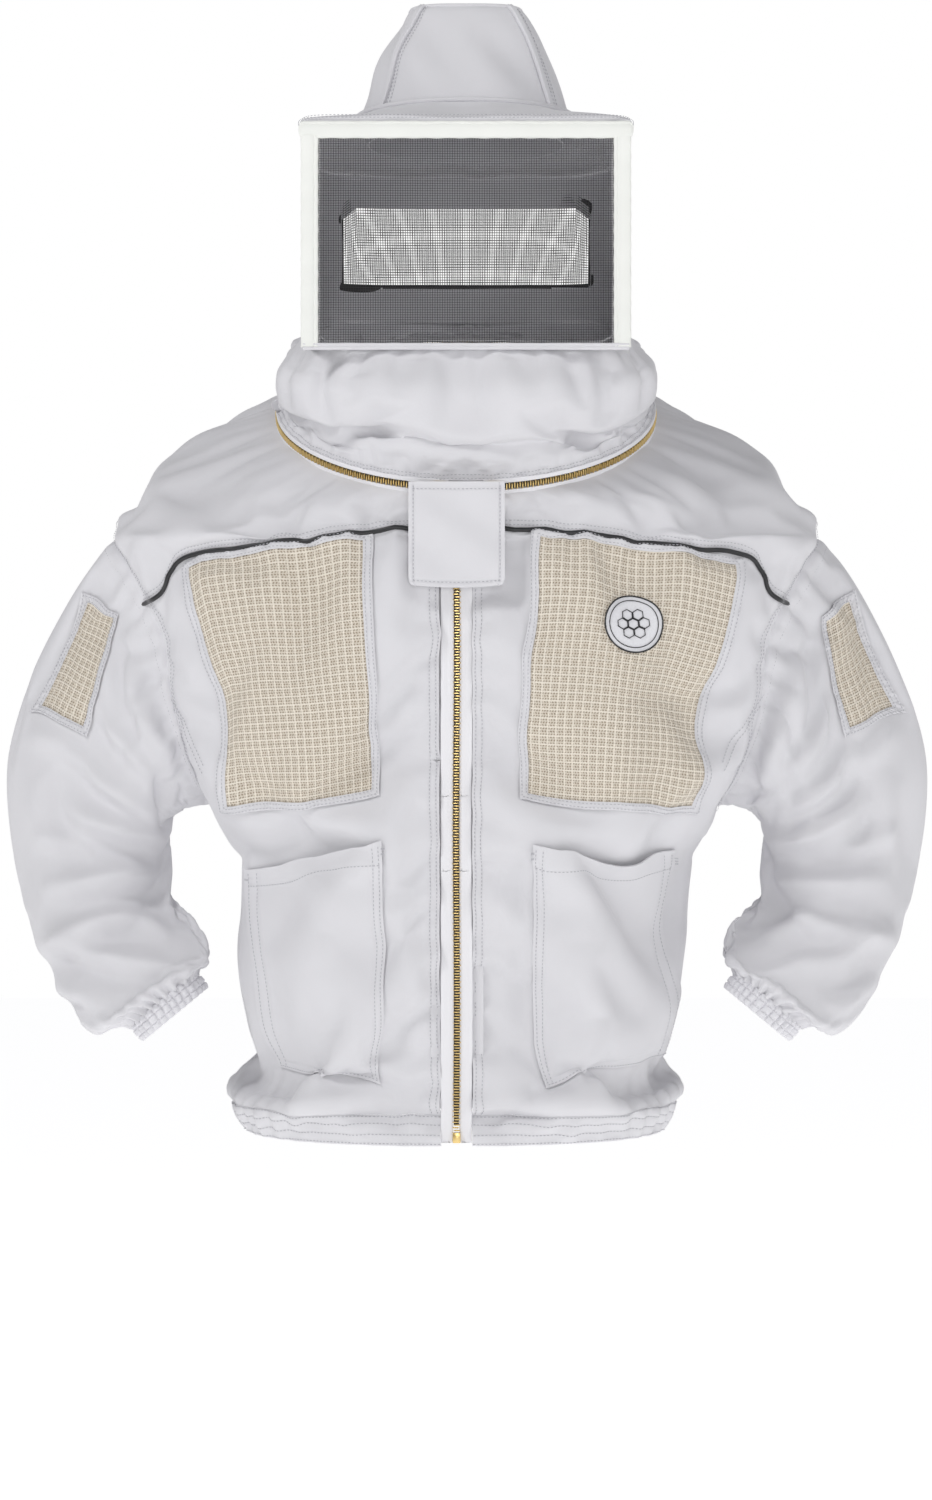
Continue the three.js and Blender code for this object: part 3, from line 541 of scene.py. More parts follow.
def wave(x, pitch):
    """0 to 1 and back along x, once every pitch."""
    return (x * (2 * math.pi / pitch)).math("SINE") * 0.5 + 0.5


def bump(tree, shader, height, strength, distance):
    values = {"Height": height, "Strength": strength, "Distance": distance}
    made = add_node(tree, "ShaderNodeBump", {}, values)
    plug(tree, shader.inputs["Normal"], made)


def tint(tree, shader, low, high, amount):
    """Base colour between two tones by a varying amount."""
    made = add_node(tree, "ShaderNodeMix", {"data_type": "RGBA"}, {}, output=2)
    node = made.socket.node
    plug(tree, node.inputs[0], amount)
    node.inputs[6].default_value = (*low, 1)
    node.inputs[7].default_value = (*high, 1)
    plug(tree, shader.inputs["Base Color"], made)


# %% Cotton, vents, netting, brass
def cotton_material(name, low, high, rough=0.85, weave=0.00055, strength=0.35):
    """A twill: fine diagonal ribs crossed by the weft, over slow, faint unevenness of the bleach."""
    material, tree, shader = new_material(name, high, rough, sheen=0.25)
    u, v, place = uv_parts(tree, math.radians(32))
    cloud = add_node(tree, "ShaderNodeTexNoise", {}, {"Vector": place, "Scale": 16.0, "Detail": 4.0})
    slub = add_node(tree, "ShaderNodeTexNoise", {}, {"Vector": place, "Scale": 900.0, "Detail": 2.0})
    twill = wave(u, weave) * 0.7 + wave(v, weave * 1.6) * 0.3
    tint(tree, shader, low, high, cloud * 0.75 + slub * 0.3)
    bump(tree, shader, twill + slub * 0.5, strength, 0.00012)
    return material


def vent_material():
    """Three-layer vent: a cream knit of ribs with rows of slanting holes between them. The sheet between the
    ribs is tinted darker and the holes darkest: partly the darker spacer behind, partly painted shade in the
    recesses.
    """
    material, tree, shader = new_material("vent_mesh", (0.84, 0.76, 0.63), 0.9, sheen=0.2)
    u, v, place = uv_parts(tree)
    block = VENT_PITCH
    rib = wave(u, block).math("POWER", 7.0).math("MAXIMUM", wave(v, block).math("POWER", 7.0))
    lean = wave(v, block * 2 / 3) * 0.0009
    hole = wave(u + lean, block / 3) * wave(v, block / 3)
    # Darker between the raised ribs and darkest in the holes: partly the spacer's own darker tone, partly
    # painted shade.
    dark = (hole.math("POWER", 1.25) * 0.8 + 0.22) * (1 - rib)
    noise = add_node(tree, "ShaderNodeTexNoise", {}, {"Vector": place, "Scale": 220.0, "Detail": 3.0})
    tint(tree, shader, (0.83, 0.765, 0.665), (0.33, 0.265, 0.19), dark * 1.5 + noise * 0.12 - 0.06)
    bump(tree, shader, rib * 0.8 - hole * 1.4 + noise * 0.2, 0.6, 0.0008)
    return material


def speckled(name, low, high, rough, scale, detail, strength, distance, **look):
    """A finish that varies finely between two tones, as spun thread and cast metal do."""
    material, tree, shader = new_material(name, high, rough, **look)
    place = add_node(tree, "ShaderNodeTexCoord", {}, {}, output=3)
    noise = add_node(tree, "ShaderNodeTexNoise", {}, {"Vector": place, "Scale": scale, "Detail": detail})
    tint(tree, shader, low, high, noise)
    bump(tree, shader, noise, strength, distance)
    return material, tree, shader, noise


def thread_material(name, colour, rough=0.7):
    low = tuple(c * 0.8 for c in colour)
    return speckled(name, low, colour, rough, 700.0, 2.0, 0.3, 0.0002, sheen=0.1)[0]


def brass_material():
    material, tree, shader, noise = speckled(
        "brass", (0.62, 0.43, 0.15), (0.90, 0.70, 0.33), 0.28, 260.0, 3.0, 0.2, 0.0001, metallic=1.0)
    plug(tree, shader.inputs["Roughness"], noise * 0.25 + 0.2)
    return material


def steel_material():
    return speckled(
        "wire", (0.34, 0.34, 0.35), (0.52, 0.52, 0.53), 0.38, 400.0, 3.0, 0.15, 0.0001, metallic=1.0)[0]


VENT_PITCH = 0.0075
WHITE_LOW, WHITE_HIGH = (0.625, 0.620, 0.645), (0.725, 0.720, 0.745)
finish = {
    "cotton": cotton_material("cotton", WHITE_LOW, WHITE_HIGH),
    "binding": cotton_material("binding", (0.77, 0.78, 0.745), (0.86, 0.87, 0.835), weave=0.0009),
    "elastic": cotton_material("elastic", (0.66, 0.655, 0.685), (0.76, 0.755, 0.785)),
    "zip_tape": cotton_material("zip_tape", (0.74, 0.735, 0.76), (0.84, 0.835, 0.86), weave=0.0008),
    "hook_pad": thread_material("hook_pad", (0.70, 0.70, 0.73), 0.9),
    "vent_mesh": vent_material(),
    "black_mesh": thread_material("black_mesh", (0.040, 0.038, 0.039), 0.5),
    "piping": cotton_material("piping", (0.006, 0.006, 0.007), (0.020, 0.020, 0.023), 0.42, 0.001),
    # The stitching thread is white; this grey is painted shade for the dimples the stitches press into the
    # cloth.
    "thread": thread_material("thread", (0.50, 0.50, 0.53)),
    "white_thread": thread_material("white_thread", (0.80, 0.80, 0.83)),
    "black_thread": thread_material("black_thread", (0.02, 0.02, 0.022)),
    "brass": brass_material(),
    "wire": steel_material(),
}
print("finishes:", ", ".join(finish))


# %% [markdown]
# ## Putting a piece on its body
# Every piece names its finish, the body it rides on and the frame nodes it stands for.

# %% Dressing a piece
def dress(piece, material, body_name, replaced=(), thickness=0.0, smooth=True):
    piece.data.materials.clear()
    piece.data.materials.append(finish[material])
    if thickness:
        apply_modifier(piece, "SOLIDIFY", thickness=thickness, offset=-1.0, use_even_offset=False)
    if smooth:
        pick(piece)
        bpy.ops.object.shade_smooth_by_angle(angle=math.radians(50))
    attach(piece, body_name)
    if replaced:
        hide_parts(*replaced)
    return piece


# %% [markdown]
# ## Small things that repeat
# A stitch, a zip tooth and a wire of the netting are each modelled once, with few faces, and copied along a
# path with their own place and direction.

# %% Copies along a path
def template(kind, size, bevel=0.0):
    """The points and faces of one small shape."""
    deselect()
    if kind == "box":
        bpy.ops.mesh.primitive_cube_add(size=1)
    else:
        bpy.ops.mesh.primitive_ico_sphere_add(subdivisions=1, radius=0.5)
    piece = bpy.context.object
    if bevel:
        apply_modifier(piece, "BEVEL", width=bevel, segments=1)
    points = np.array([v.co[:] for v in piece.data.vertices]) * size
    faces = [tuple(f.vertices) for f in piece.data.polygons]
    bpy.data.objects.remove(piece, do_unlink=True)
    return points, faces


def copies(name, shape, places, frames):
    """One mesh of many copies: places (n, 3), frames (n, 3, 3) whose rows are each copy's own axes."""
    points, faces = shape
    made = np.einsum("pk,nkc->npc", points, frames) + places[:, None, :]
    count = len(points)
    mesh = bpy.data.meshes.new(name)
    shifted = [tuple(v + count * n for v in face) for n in range(len(places)) for face in faces]
    mesh.from_pydata(made.reshape(-1, 3).tolist(), [], shifted)
    piece = bpy.data.objects.new(name, mesh)
    bpy.context.scene.collection.objects.link(piece)
    return piece


def walk(points, pitch, start=0.5):
    """Places every pitch along a line of points, with the direction there."""
    steps = np.linalg.norm(np.diff(points, axis=0), axis=1)
    walked = np.concatenate([[0], np.cumsum(steps)])
    count = max(int(walked[-1] / pitch), 1)
    at = (np.arange(count) + start) * walked[-1] / count
    read = lambda d: np.stack([np.interp(d, walked, points[:, k]) for k in range(3)], axis=1)
    ahead, behind = np.minimum(at + pitch * 0.4, walked[-1]), np.maximum(at - pitch * 0.4, 0)
    direction = read(ahead) - read(behind)
    return read(at), direction / np.linalg.norm(direction, axis=1, keepdims=True), at / walked[-1]


def axes(direction, normal):
    """Rows: along, sideways, outwards."""
    side = np.cross(normal, direction)
    side /= np.maximum(np.linalg.norm(side, axis=1, keepdims=True), 1e-9)
    out = np.cross(direction, side)
    return np.stack([direction, side, out], axis=1)


STITCH_PITCH = 0.0034
stitch_shape = template("ball", np.array([0.0025, 0.0008, 0.0007]))
STITCH_LINES = {}


def stitch(group, surface, around, along, lift=0.0012):
    """Notes a line of topstitching on a surface; the lines of a body become one piece."""
    around, along = np.broadcast_arrays(np.asarray(around, float), np.asarray(along, float))
    dense = np.linspace(0, 1, 400)
    source = np.linspace(0, 1, len(around))
    a, b = np.interp(dense, source, around), np.interp(dense, source, along)
    lift = np.interp(dense, source, lift) if np.ndim(lift) else lift
    points = surface.at(a, b, lift)
    places, direction, share = walk(points, STITCH_PITCH)
    normals = surface.normal(np.interp(share, dense, a), np.interp(share, dense, b))
    STITCH_LINES.setdefault(group, []).append((places, axes(direction, normals)))


def make_stitches():
    for group, lines in STITCH_LINES.items():
        places = np.concatenate([line[0] for line in lines])
        frames = np.concatenate([line[1] for line in lines])
        piece = copies(f"stitching_{group}", stitch_shape, places, frames)
        # Grey thread: painted shade of the stitch dimples.
        dress(piece, "thread", group, smooth=False)
        print("stitches", group, len(places))


def loft(name, path, normals, profile, closed=False):
    """A profile of (sideways, outwards) offsets carried along a path; the profile may vary along it."""
    tangent = np.roll(path, -1, axis=0) - np.roll(path, 1, axis=0) if closed else np.gradient(path, axis=0)
    normals = np.broadcast_to(np.asarray(normals, float), path.shape)
    side = np.cross(tangent, normals)
    side /= np.maximum(np.linalg.norm(side, axis=1, keepdims=True), 1e-9)
    out = np.cross(side, tangent)
    out /= np.maximum(np.linalg.norm(out, axis=1, keepdims=True), 1e-9)
    profile = np.asarray(profile, float)
    if profile.ndim == 2:
        profile = np.repeat(profile[:, None], len(path), axis=1)
    rings = path + profile[..., :1] * side + profile[..., 1:] * out
    if closed:
        rings = np.concatenate([rings, rings[:, :1]], axis=1)
    piece = grid_mesh(name, rings, closed=True)
    if not closed:
        edit(piece, lambda: bpy.ops.mesh.select_all(action="DESELECT"),
             lambda: bpy.ops.mesh.select_mode(type="EDGE"),
             lambda: bpy.ops.mesh.select_non_manifold(), lambda: bpy.ops.mesh.fill(),
             lambda: bpy.ops.mesh.select_mode(type="VERT"))
    edit(piece, lambda: bpy.ops.mesh.normals_make_consistent(inside=False))
    return piece


def circle(radius, sides=8):
    turn = np.linspace(0, 2 * math.pi, sides + 1)
    return radius * np.stack([np.cos(turn), np.sin(turn)], axis=1)


def cord(name, points, radius, material, body_name, replaced=(), closed=False):
    """A round cord lofted along points."""
    piece = loft(name, points, (0.01, -1.0, 0.02), circle(radius), closed)
    return dress(piece, material, body_name, replaced)


def pillow(width, depth, grooves=(), steps=28):
    """A closed strip profile with round edges; a groove is (place across, width, depth)."""
    turn = np.linspace(0, 2 * math.pi, steps * 2 + 1)
    shape = lambda v, power: np.sign(v) * np.abs(v) ** power
    x = 0.5 * width * shape(np.cos(turn), 0.42)
    y = 0.5 * depth * shape(np.sin(turn), 0.75)
    for place, wide, deep in grooves:
        y = y - np.where(y > 0, deep * np.exp(-((x - place) / wide) ** 2), 0)
    return np.stack([x, y], axis=1)


# %% [markdown]
# ## Finding places on the front of the body
# Seams and patches on the front are drawn as they are seen, across and up. Newton's steps on the undraped
# form find where each point lies round and along the tube, and the draped surface then carries it.

# %% Places on the body
undraped = Drape(body_rest)


def find(x, height, surface=None, first=None, rounds=8, axis=0):
    """(around, along) of points as seen from the front, from metres across and metres above the hem.
    With axis 1 they are seen from the side instead, and x is their Y."""
    surface = surface or undraped
    x, z = np.broadcast_arrays(np.asarray(x, float), np.asarray(height, float) + HEM)
    around, along = first(x, z) if first else (x / 1.25, np.clip((z - HEM) / 0.66, 0, 1))
    step = 0.002
    for _ in range(rounds):
        here = surface.place(around, along)
        by_around = (surface.place(around + step, along) - here) / step
        by_along = (surface.place(around, along + step) - here) / step
        dx, dz = x - here[..., axis], z - here[..., 2]
        det = by_around[..., axis] * by_along[..., 2] - by_along[..., axis] * by_around[..., 2]
        det = np.where(np.abs(det) < 1e-4, 1e-4, det)
        around = around + np.clip((dx * by_along[..., 2] - dz * by_along[..., axis]) / det, -0.05, 0.05)
        along = along + np.clip((dz * by_around[..., axis] - dx * by_around[..., 2]) / det, -0.1, 0.1)
        along = np.clip(along, 0, 1)
    return around, along


SIDE_SEAM = 0.262
SLOT_HALF = 0.0133


def height_along(height):
    """The share of the body's length at a height on its side."""
    sides = body_rest[:, BODY_COLUMNS // 4, 2] - HEM
    return np.interp(height, sides, np.linspace(0, 1, len(sides)))


def yoke_along(around):
    """Where the yoke seam lies at each place round the body."""
    a, s = find(YOKE_LINE[:, 0], YOKE_LINE[:, 1])
    folded = np.abs((np.asarray(around) + 0.5) % 1.0 - 0.5)
    return np.interp(folded, a, s, right=s[-1])


WAIST_ALONG = height_along(0.027)


def zip_edge(side, height):
    return find(FRONT_ZIP_X + side * SLOT_HALF, height)[0]


def body_panel(name, side, edges, low, high, columns, rows, replaced, lift=None):
    """A panel between two places round the body and two lines along it."""
    share = np.linspace(0, 1, columns)
    up = np.linspace(0, 1, rows)[:, None]
    first, last = edges
    around = first + (last - first) * share
    along = low(around) * (1 - up) + high(around) * up
    if side:
        heights = np.linspace(0.0, 0.56, 30)
        beside_zip = along[:, 0 if side > 0 else -1]
        edge = np.interp(beside_zip, find(0 * heights, heights)[1], zip_edge(side, heights))
        place = edge[:, None] + (last - edge)[:, None] * share if side > 0 else \
            first + (edge - first)[:, None] * share
        around = place
        along = low(around) * (1 - up) + high(around) * up
    else:
        around = np.broadcast_to(around, along.shape)
    piece = grid_mesh(name, body.at(around, along, lift(around, along) if lift else 0.0))
    rest_of = undraped.place(around, along)
    hole = arm_depth(rest_of) < 0.84
    if hole.any():
        middle = (hole[1:, 1:] & hole[:-1, 1:] & hole[1:, :-1] & hole[:-1, :-1]).reshape(-1)
        delete_faces(piece, middle)
    dress(piece, "cotton", "jacket", replaced, thickness=0.0012)
    print(name, len(piece.data.vertices), "points")
    return piece


def delete_faces(piece, drop):
    """Deletes the flagged faces of a fresh grid."""
    pick(piece)
    bpy.ops.object.mode_set(mode="EDIT")
    bpy.ops.mesh.select_mode(type="FACE")
    bpy.ops.mesh.select_all(action="DESELECT")
    bpy.ops.object.mode_set(mode="OBJECT")
    piece.data.polygons.foreach_set("select", drop.astype(bool))
    bpy.ops.object.mode_set(mode="EDIT")
    bpy.ops.mesh.delete(type="FACE")
    bpy.ops.mesh.select_mode(type="VERT")
    bpy.ops.object.mode_set(mode="OBJECT")


def flat_line(value):
    return lambda around: np.full(np.shape(around), value)


# %% Panels of the body
def waist_roll(around, along):
    """The soft fold over the waistband's seam, and the gathers that run up from the elastic."""
    height = (along - WAIST_ALONG) * body_form.length
    folded = np.abs((around + 0.5) % 1.0 - 0.5)
    elastic = np.clip((folded - 0.10) / 0.08, 0, 1)
    roll = 0.0075 * bell(height - 0.011, 0.009)
    gathers = 0.0022 * elastic * np.sin(around * 2 * math.pi * 46 + 1.3 * np.sin(around * 31))
    return (roll * (0.75 + 0.25 * np.sin(around * 37)) + gathers * np.exp(-height / 0.028)) \
        * np.clip(height / 0.004, 0, 1)


for side, name in ((1, "left"), (-1, "right")):
    edges = (0.0, SIDE_SEAM) if side > 0 else (-SIDE_SEAM, 0.0)
    body_panel(f"front_panel_{name}", side, edges, flat_line(WAIST_ALONG), yoke_along, 110, 190,
               [f"front_panel_{name}"], waist_roll)
    body_panel(f"front_yoke_{name}", side, edges, yoke_along, flat_line(1.0), 110, 60, [f"front_yoke_{name}"])
back = (SIDE_SEAM, 1 - SIDE_SEAM)
body_panel("back_panel", 0, back, flat_line(WAIST_ALONG), yoke_along, 300, 190, ["back_panel"], waist_roll)
body_panel("back_yoke", 0, back, yoke_along, flat_line(1.0), 180, 70, ["back_yoke"])


# %% [markdown]
# ## Patches drawn on a surface
# A vent or a pocket is drawn by its four edges. A Coons patch fills the space between them with a grid, so
# the patch keeps the shape of its edges, and the knit of the vent runs the way the edges do.

# %% Patches
def resample(line, share):
    line = np.asarray(line, float)
    walked = np.concatenate([[0], np.cumsum(np.linalg.norm(np.diff(line, axis=0), axis=1))])
    places = np.asarray(share) * walked[-1]
    return np.stack([np.interp(places, walked, line[:, k]) for k in range(2)], axis=-1)


class Patch:
    """Four edges in millimetres across and above the hem: bottom and top run outwards, the sides run up."""

    def __init__(self, surface, inner, outer, bottom, top, first=None, rest=None, axis=0):
        self.surface, self.rest, self.first, self.axis = surface, rest, first, axis
        self.lines = [np.asarray(line, float) * MM for line in (inner, outer, bottom, top)]
        self.width = np.linalg.norm(self.lines[2][-1] - self.lines[2][0])
        self.height = np.linalg.norm(self.lines[0][-1] - self.lines[0][0])

    def flat(self, s, t):
        inner, outer, bottom, top = self.lines
        s, t = np.broadcast_arrays(np.asarray(s, float), np.asarray(t, float))
        sides = (1 - s)[..., None] * resample(inner, t) + s[..., None] * resample(outer, t)
        ends = (1 - t)[..., None] * resample(bottom, s) + t[..., None] * resample(top, s)
        corners = ((1 - s) * (1 - t))[..., None] * bottom[0] + (s * (1 - t))[..., None] * bottom[-1] \
            + ((1 - s) * t)[..., None] * top[0] + (s * t)[..., None] * top[-1]
        return sides + ends - corners

    def spot(self, s, t):
        xz = self.flat(s, t)
        return find(xz[..., 0], xz[..., 1], self.rest, self.first, axis=self.axis)

    def grid(self, columns, rows, lift, trim=0.0):
        s, t = lattice(columns, rows)
        around, along = self.spot(trim + (1 - 2 * trim) * s, trim + (1 - 2 * trim) * t)
        return self.surface.at(around, along, lift(s, t))

    def loop(self, inset, count):
        """Places round the patch at a distance in from its edge."""
        turn = np.linspace(0, 4, count + 1)
        side = np.minimum(turn.astype(int), 3)
        share = turn - side
        ds, dt = inset / self.width, inset / self.height
        s = np.choose(side, [ds + (1 - 2 * ds) * share, 1 - ds, 1 - ds - (1 - 2 * ds) * share, ds])
        t = np.choose(side, [dt, dt + (1 - 2 * dt) * share, 1 - dt, 1 - dt - (1 - 2 * dt) * share])
        return self.spot(s, t)


def border(name, patch, width, mirrored, phase, puckers=0.0006, lift=0.0011):
    """The folded, puckered edge sewn round a vent, with two rows of stitches."""
    count, rows = 480, 8
    rings = []
    for row in range(rows):
        across = row / (rows - 1)
        around, along = patch.loop(-0.001 + across * (width + 0.001), count)
        turn = np.linspace(0, 2 * math.pi, count + 1)
        pinch = np.sin(turn * 52 + phase) * np.sin(turn * 19 + 1.7 * phase + 3 * across)
        crown = math.sin(math.pi * (0.06 + 0.90 * across)) ** 0.5
        rings.append(patch.surface.at(around, along, lift + crown * (0.0012 + puckers * pinch)))
    piece = tube_mesh(name, np.array(rings), flip=mirrored)
    dress(piece, "cotton", "jacket")
    for inset in (0.0016, 0.0052):
        around, along = patch.loop(inset, count)
        stitch("jacket", patch.surface, around, along, lift + 0.0019)


# %% [markdown]
# ## The chest vents
# Each vent is a sheet of spacer mesh whose ribs stand up from it. The ribs are in the geometry, a rib every
# seven and a half millimetres, and the small slanting holes between them are in the finish.

# %% Chest vents
def ribbed(width, height, relief=0.0008):
    def lift(s, t):
        rib_u = np.cos(s * width / VENT_PITCH * 2 * math.pi) * 0.5 + 0.5
        rib_v = np.cos(t * height / VENT_PITCH * 2 * math.pi) * 0.5 + 0.5
        return 0.0005 + relief * np.maximum(rib_u**4, rib_v**4)
    return lift


def vent_sheet(name, patch, columns, rows, mirrored, trim):
    """The spacer mesh of one vent, cut a little short of the border that covers its edges."""
    points = patch.grid(columns, rows, ribbed(patch.width, patch.height), trim)
    piece = grid_mesh(name, points, flip=mirrored)
    dress(piece, "vent_mesh", "jacket", [name])


CHEST_VENTS = {
    "right": (
        [(-69, 303), (-69, 323), (-76, 423), (-79, 507), (-80, 526)],
        [(-201, 296), (-205, 321), (-209, 368), (-217, 406), (-230, 451), (-245, 497)],
        [(-69, 303), (-120, 299), (-201, 296)],
        [(-80, 526), (-112, 524), (-150, 518), (-190, 514), (-228, 509), (-245, 497)],
    ),
    "left": (
        [(44, 300), (44, 367), (48, 423), (54, 473), (55, 526)],
        [(199, 290), (204, 321), (211, 368), (221, 420), (231, 470), (238, 503)],
        [(44, 300), (110, 297), (199, 290)],
        [(55, 526), (110, 524), (150, 518), (190, 514), (238, 503)],
    ),
}
for name, edges in CHEST_VENTS.items():
    patch = Patch(body, *edges)
    mirrored = name == "right"
    vent_sheet(f"chest_vent_{name}", patch, 140, 180, mirrored, 0.012)
    border(f"chest_vent_edge_{name}", patch, 0.007, mirrored, len(name))

# %% [markdown]
# ## Piping
# A black cord is caught in the yoke seam, just under the plain yoke.

# %% Piping
for side, name in ((1, "left"), (-1, "right")):
    x, h = YOKE_LINE[YOKE_LINE[:, 0] > FRONT_ZIP_X * side + SLOT_HALF].T
    around, along = find(side * x, h)
    line = body.at(around, along, 0.0012)
    cord(f"piping_{name}", line, 0.0021, "piping", "jacket", [f"piping_{name}"])
    for gap in (0.004, 0.0075):
        a, b = find(side * x, h + gap)
        stitch("jacket", body, a, b)

# %% [markdown]
# ## Pockets
# A patch pocket stands a little away from the jacket, most at its mouth, where the folded hem is stitched.

# %% Patch pockets
POCKETS = {
    "right": (
        [(-73, 52), (-69, 120), (-66, 178), (-68, 265)],
        [(-170, 74), (-172, 120), (-178, 200), (-180, 241)],
        [(-73, 52), (-105, 61), (-140, 68), (-170, 74)],
        [(-68, 265), (-125, 252), (-180, 241)],
    ),
    "left": (
        [(66, 52), (58, 90), (55, 140), (54, 224), (56, 262)],
        [(170, 82), (172, 120), (178, 200), (180, 262)],
        [(66, 52), (106, 70), (145, 77), (170, 82)],
        [(56, 262), (88, 256), (120, 252), (149, 253), (180, 262)],
    ),
}
POCKET_HEM = 0.019


def pocket_lift(height, seed):
    def lift(s, t):
        bulge = swelling(s, 0.8)
        fall = 0.0050 * bulge * (0.35 + 0.65 * t**1.5)
        edge = np.minimum(np.minimum(s, 1 - s) * 14, np.minimum(t * 18, 1))
        hem = 0.0009 / (1 + np.exp(-(t - (1 - POCKET_HEM / height)) * 160))
        sewn = np.minimum(np.minimum(s, 1 - s), t * 1.6)
        hem = hem - 0.0009 * bell(sewn - 0.065, 0.012)
        crease = 0.0009 * np.sin(9 * s + 5 * t + seed) * np.sin(6 * t - 4 * s + 2 * seed) * bulge
        return 0.0024 + np.clip(edge, 0, 1) * (fall + crease + 0.0004) + hem
    return lift


for name, edges in POCKETS.items():
    patch = Patch(body, *edges)
    mirrored = name == "right"
    lift = pocket_lift(patch.height, len(name))
    piece = grid_mesh(f"pocket_{name}", patch.grid(90, 120, lift), flip=mirrored)
    dress(piece, "cotton", "jacket", [f"pocket_{name}"], thickness=0.0014)
    line = np.linspace(0.015, 0.985, 60)
    hem_share = 1 - POCKET_HEM / patch.height
    for s, t in ((line, np.full(60, hem_share)), (line, np.full(60, 0.012)),
                 (np.full(60, 0.022), line), (np.full(60, 0.978), line),
                 (np.full(60, 0.065), line), (np.full(60, 0.935), line)):
        around, along = patch.spot(s, t)
        stitch("jacket", body, around, along, lift(s, t) + 0.0002)


def bar_tack(x, height, length):
    """A few long stitches laid close together where a pocket is pulled most."""
    for step in range(4):
        a, b = find(np.full(6, x + step * 0.0006), height + np.linspace(0, length, 6))
        stitch("jacket", body, a, b, 0.0075)


for name, edges in POCKETS.items():
    for corner in (edges[3][0], edges[3][-1]):
        bar_tack(corner[0] * MM * 0.985, (corner[1] - 12) * MM, 0.008)

# %% [markdown]
# ## Sleeves
# Each sleeve starts on the body along the armhole seam, balloons over the elbow and is gathered into an
# elastic cuff at the wrist, which rests on the hip.

# %% Sleeve form
def side_guess(side):
    """Where a search on the body's side starts, from its height."""
    return lambda y, z: (np.full(y.shape, side * 0.25), height_along(z - HEM))


def rib(outer, inner, y, half_depth, side):
    outer = np.array([side * outer[0] * MM, y * MM, HEM + outer[1] * MM])
    inner = np.array([side * inner[0] * MM, y * MM, HEM + inner[1] * MM])
    return (outer + inner) / 2, (outer - inner) / 2, (0, -side * half_depth * MM, 0), 2.1


WRIST = np.array([267.0, 119.0])
WRIST_ACROSS = np.array([57.0, -47.0]) / math.hypot(57, 47)
WRIST_Y, CUFF_LENGTH, CUFF_RADIUS = -58, 17, 37


def cuff_rib(distance, side, radius=CUFF_RADIUS):
    middle = WRIST + distance * np.array([WRIST_ACROSS[1], -WRIST_ACROSS[0]])
    reach = WRIST_ACROSS * radius
    return rib(middle + reach, middle - reach, WRIST_Y, radius, side)


SLEEVE_RIBS = [
    ((315, 530), (237, 292), 8, 80),
    ((353, 476), (251, 290), 14, 78),
    ((385, 420), (263, 284), 20, 76),
    ((415, 345), (272, 272), 30, 73),
    ((411, 262), (276, 250), 30, 68),
    ((395, 200), (269, 214), 8, 64),
    ((363, 143), (241, 184), -25, 60),
    ((337, 106), (231, 160), -46, 54),
]
SLEEVE_COLUMNS, SLEEVE_ROWS = 110, 96


def sleeve_rest(side):
    tube = Tube([rib(*line, side) for line in SLEEVE_RIBS] + [cuff_rib(0, side)], start=180)
    points = tube.grid(SLEEVE_COLUMNS, SLEEVE_ROWS)
    y, z = points[0, :, 1], points[0, :, 2] - HEM
    around, along = find(y, z, body, side_guess(side), axis=1)
    onto = body.at(around, along, -0.002) - points[0]
    along_tube = np.linspace(0, 1, SLEEVE_ROWS)
    fade = np.clip(1 - along_tube / 0.17, 0, 1) ** 1.6
    return points + fade[:, None, None] * onto


def sleeve_held(points):
    along = np.linspace(0, 1, points.shape[0])[:, None]
    return np.maximum(soft_edge(along, 0.02), soft_edge(1 - along, 0.03)) * np.ones(points.shape[:2])


def sleeve_gathers(around, along):
    """Pleats that the cuff's elastic pulls into the wrist, and the rolled edge at the armhole."""
    near_wrist = np.exp(-(1 - along) * 0.52 / 0.022)
    pleats = np.sin(around * 2 * math.pi * 25 + 1.5 * np.sin(around * 23))
    near_arm = along * 0.52
    roll = 0.0028 * bell(near_arm - 0.006, 0.006)
    return 0.0032 * near_wrist * pleats + roll


def front_guess(surface, side_axis, chosen):
    """A straight-line first guess of (around, along) from two seen coordinates."""
    a, b = np.meshgrid(np.linspace(0, 1, surface.columns), np.linspace(0, 1, surface.rows))
    points = surface.points
    keep = chosen(points, a)
    table = np.stack([points[keep][:, side_axis], points[keep][:, 2], np.ones(keep.sum())], axis=1)
    fit = np.linalg.lstsq(table, np.stack([a[keep], b[keep]], axis=1), rcond=None)[0]
    return lambda x, z: (x * fit[0, 0] + z * fit[1, 0] + fit[2, 0], x * fit[0, 1] + z * fit[1, 1] + fit[2, 1])


# %% Sleeves, their vents and cuffs
SLEEVE_VENT = (
    [(347, 357), (330, 412), (315, 462)],
    [(397, 386), (368, 434), (340, 483)],
    [(347, 357), (372, 369), (397, 386)],
    [(315, 462), (326, 473), (340, 483)],
)
SLEEVE_CREASES = [
    ((270, 262), (372, 305), 11, 12), ((272, 240), (392, 232), 11, 11), ((280, 285), (362, 350), 9, 9),
    ((290, 212), (395, 180), 11, 10), ((258, 300), (288, 405), 9, 8), ((300, 160), (375, 190), 9, 9),
    ((300, 470), (284, 340), 9, 7), ((250, 150), (330, 176), 8, 7), ((330, 440), (312, 360), 11, 4),
    ((395, 330), (380, 240), 12, 7), ((278, 322), (340, 392), 8, 7), ((340, 262), (398, 276), 9, 6),
    ((268, 188), (322, 208), 7, 7), ((322, 128), (372, 150), 8, 6), ((352, 330), (402, 372), 9, 5),
]
CUFF_GATHERS = 30


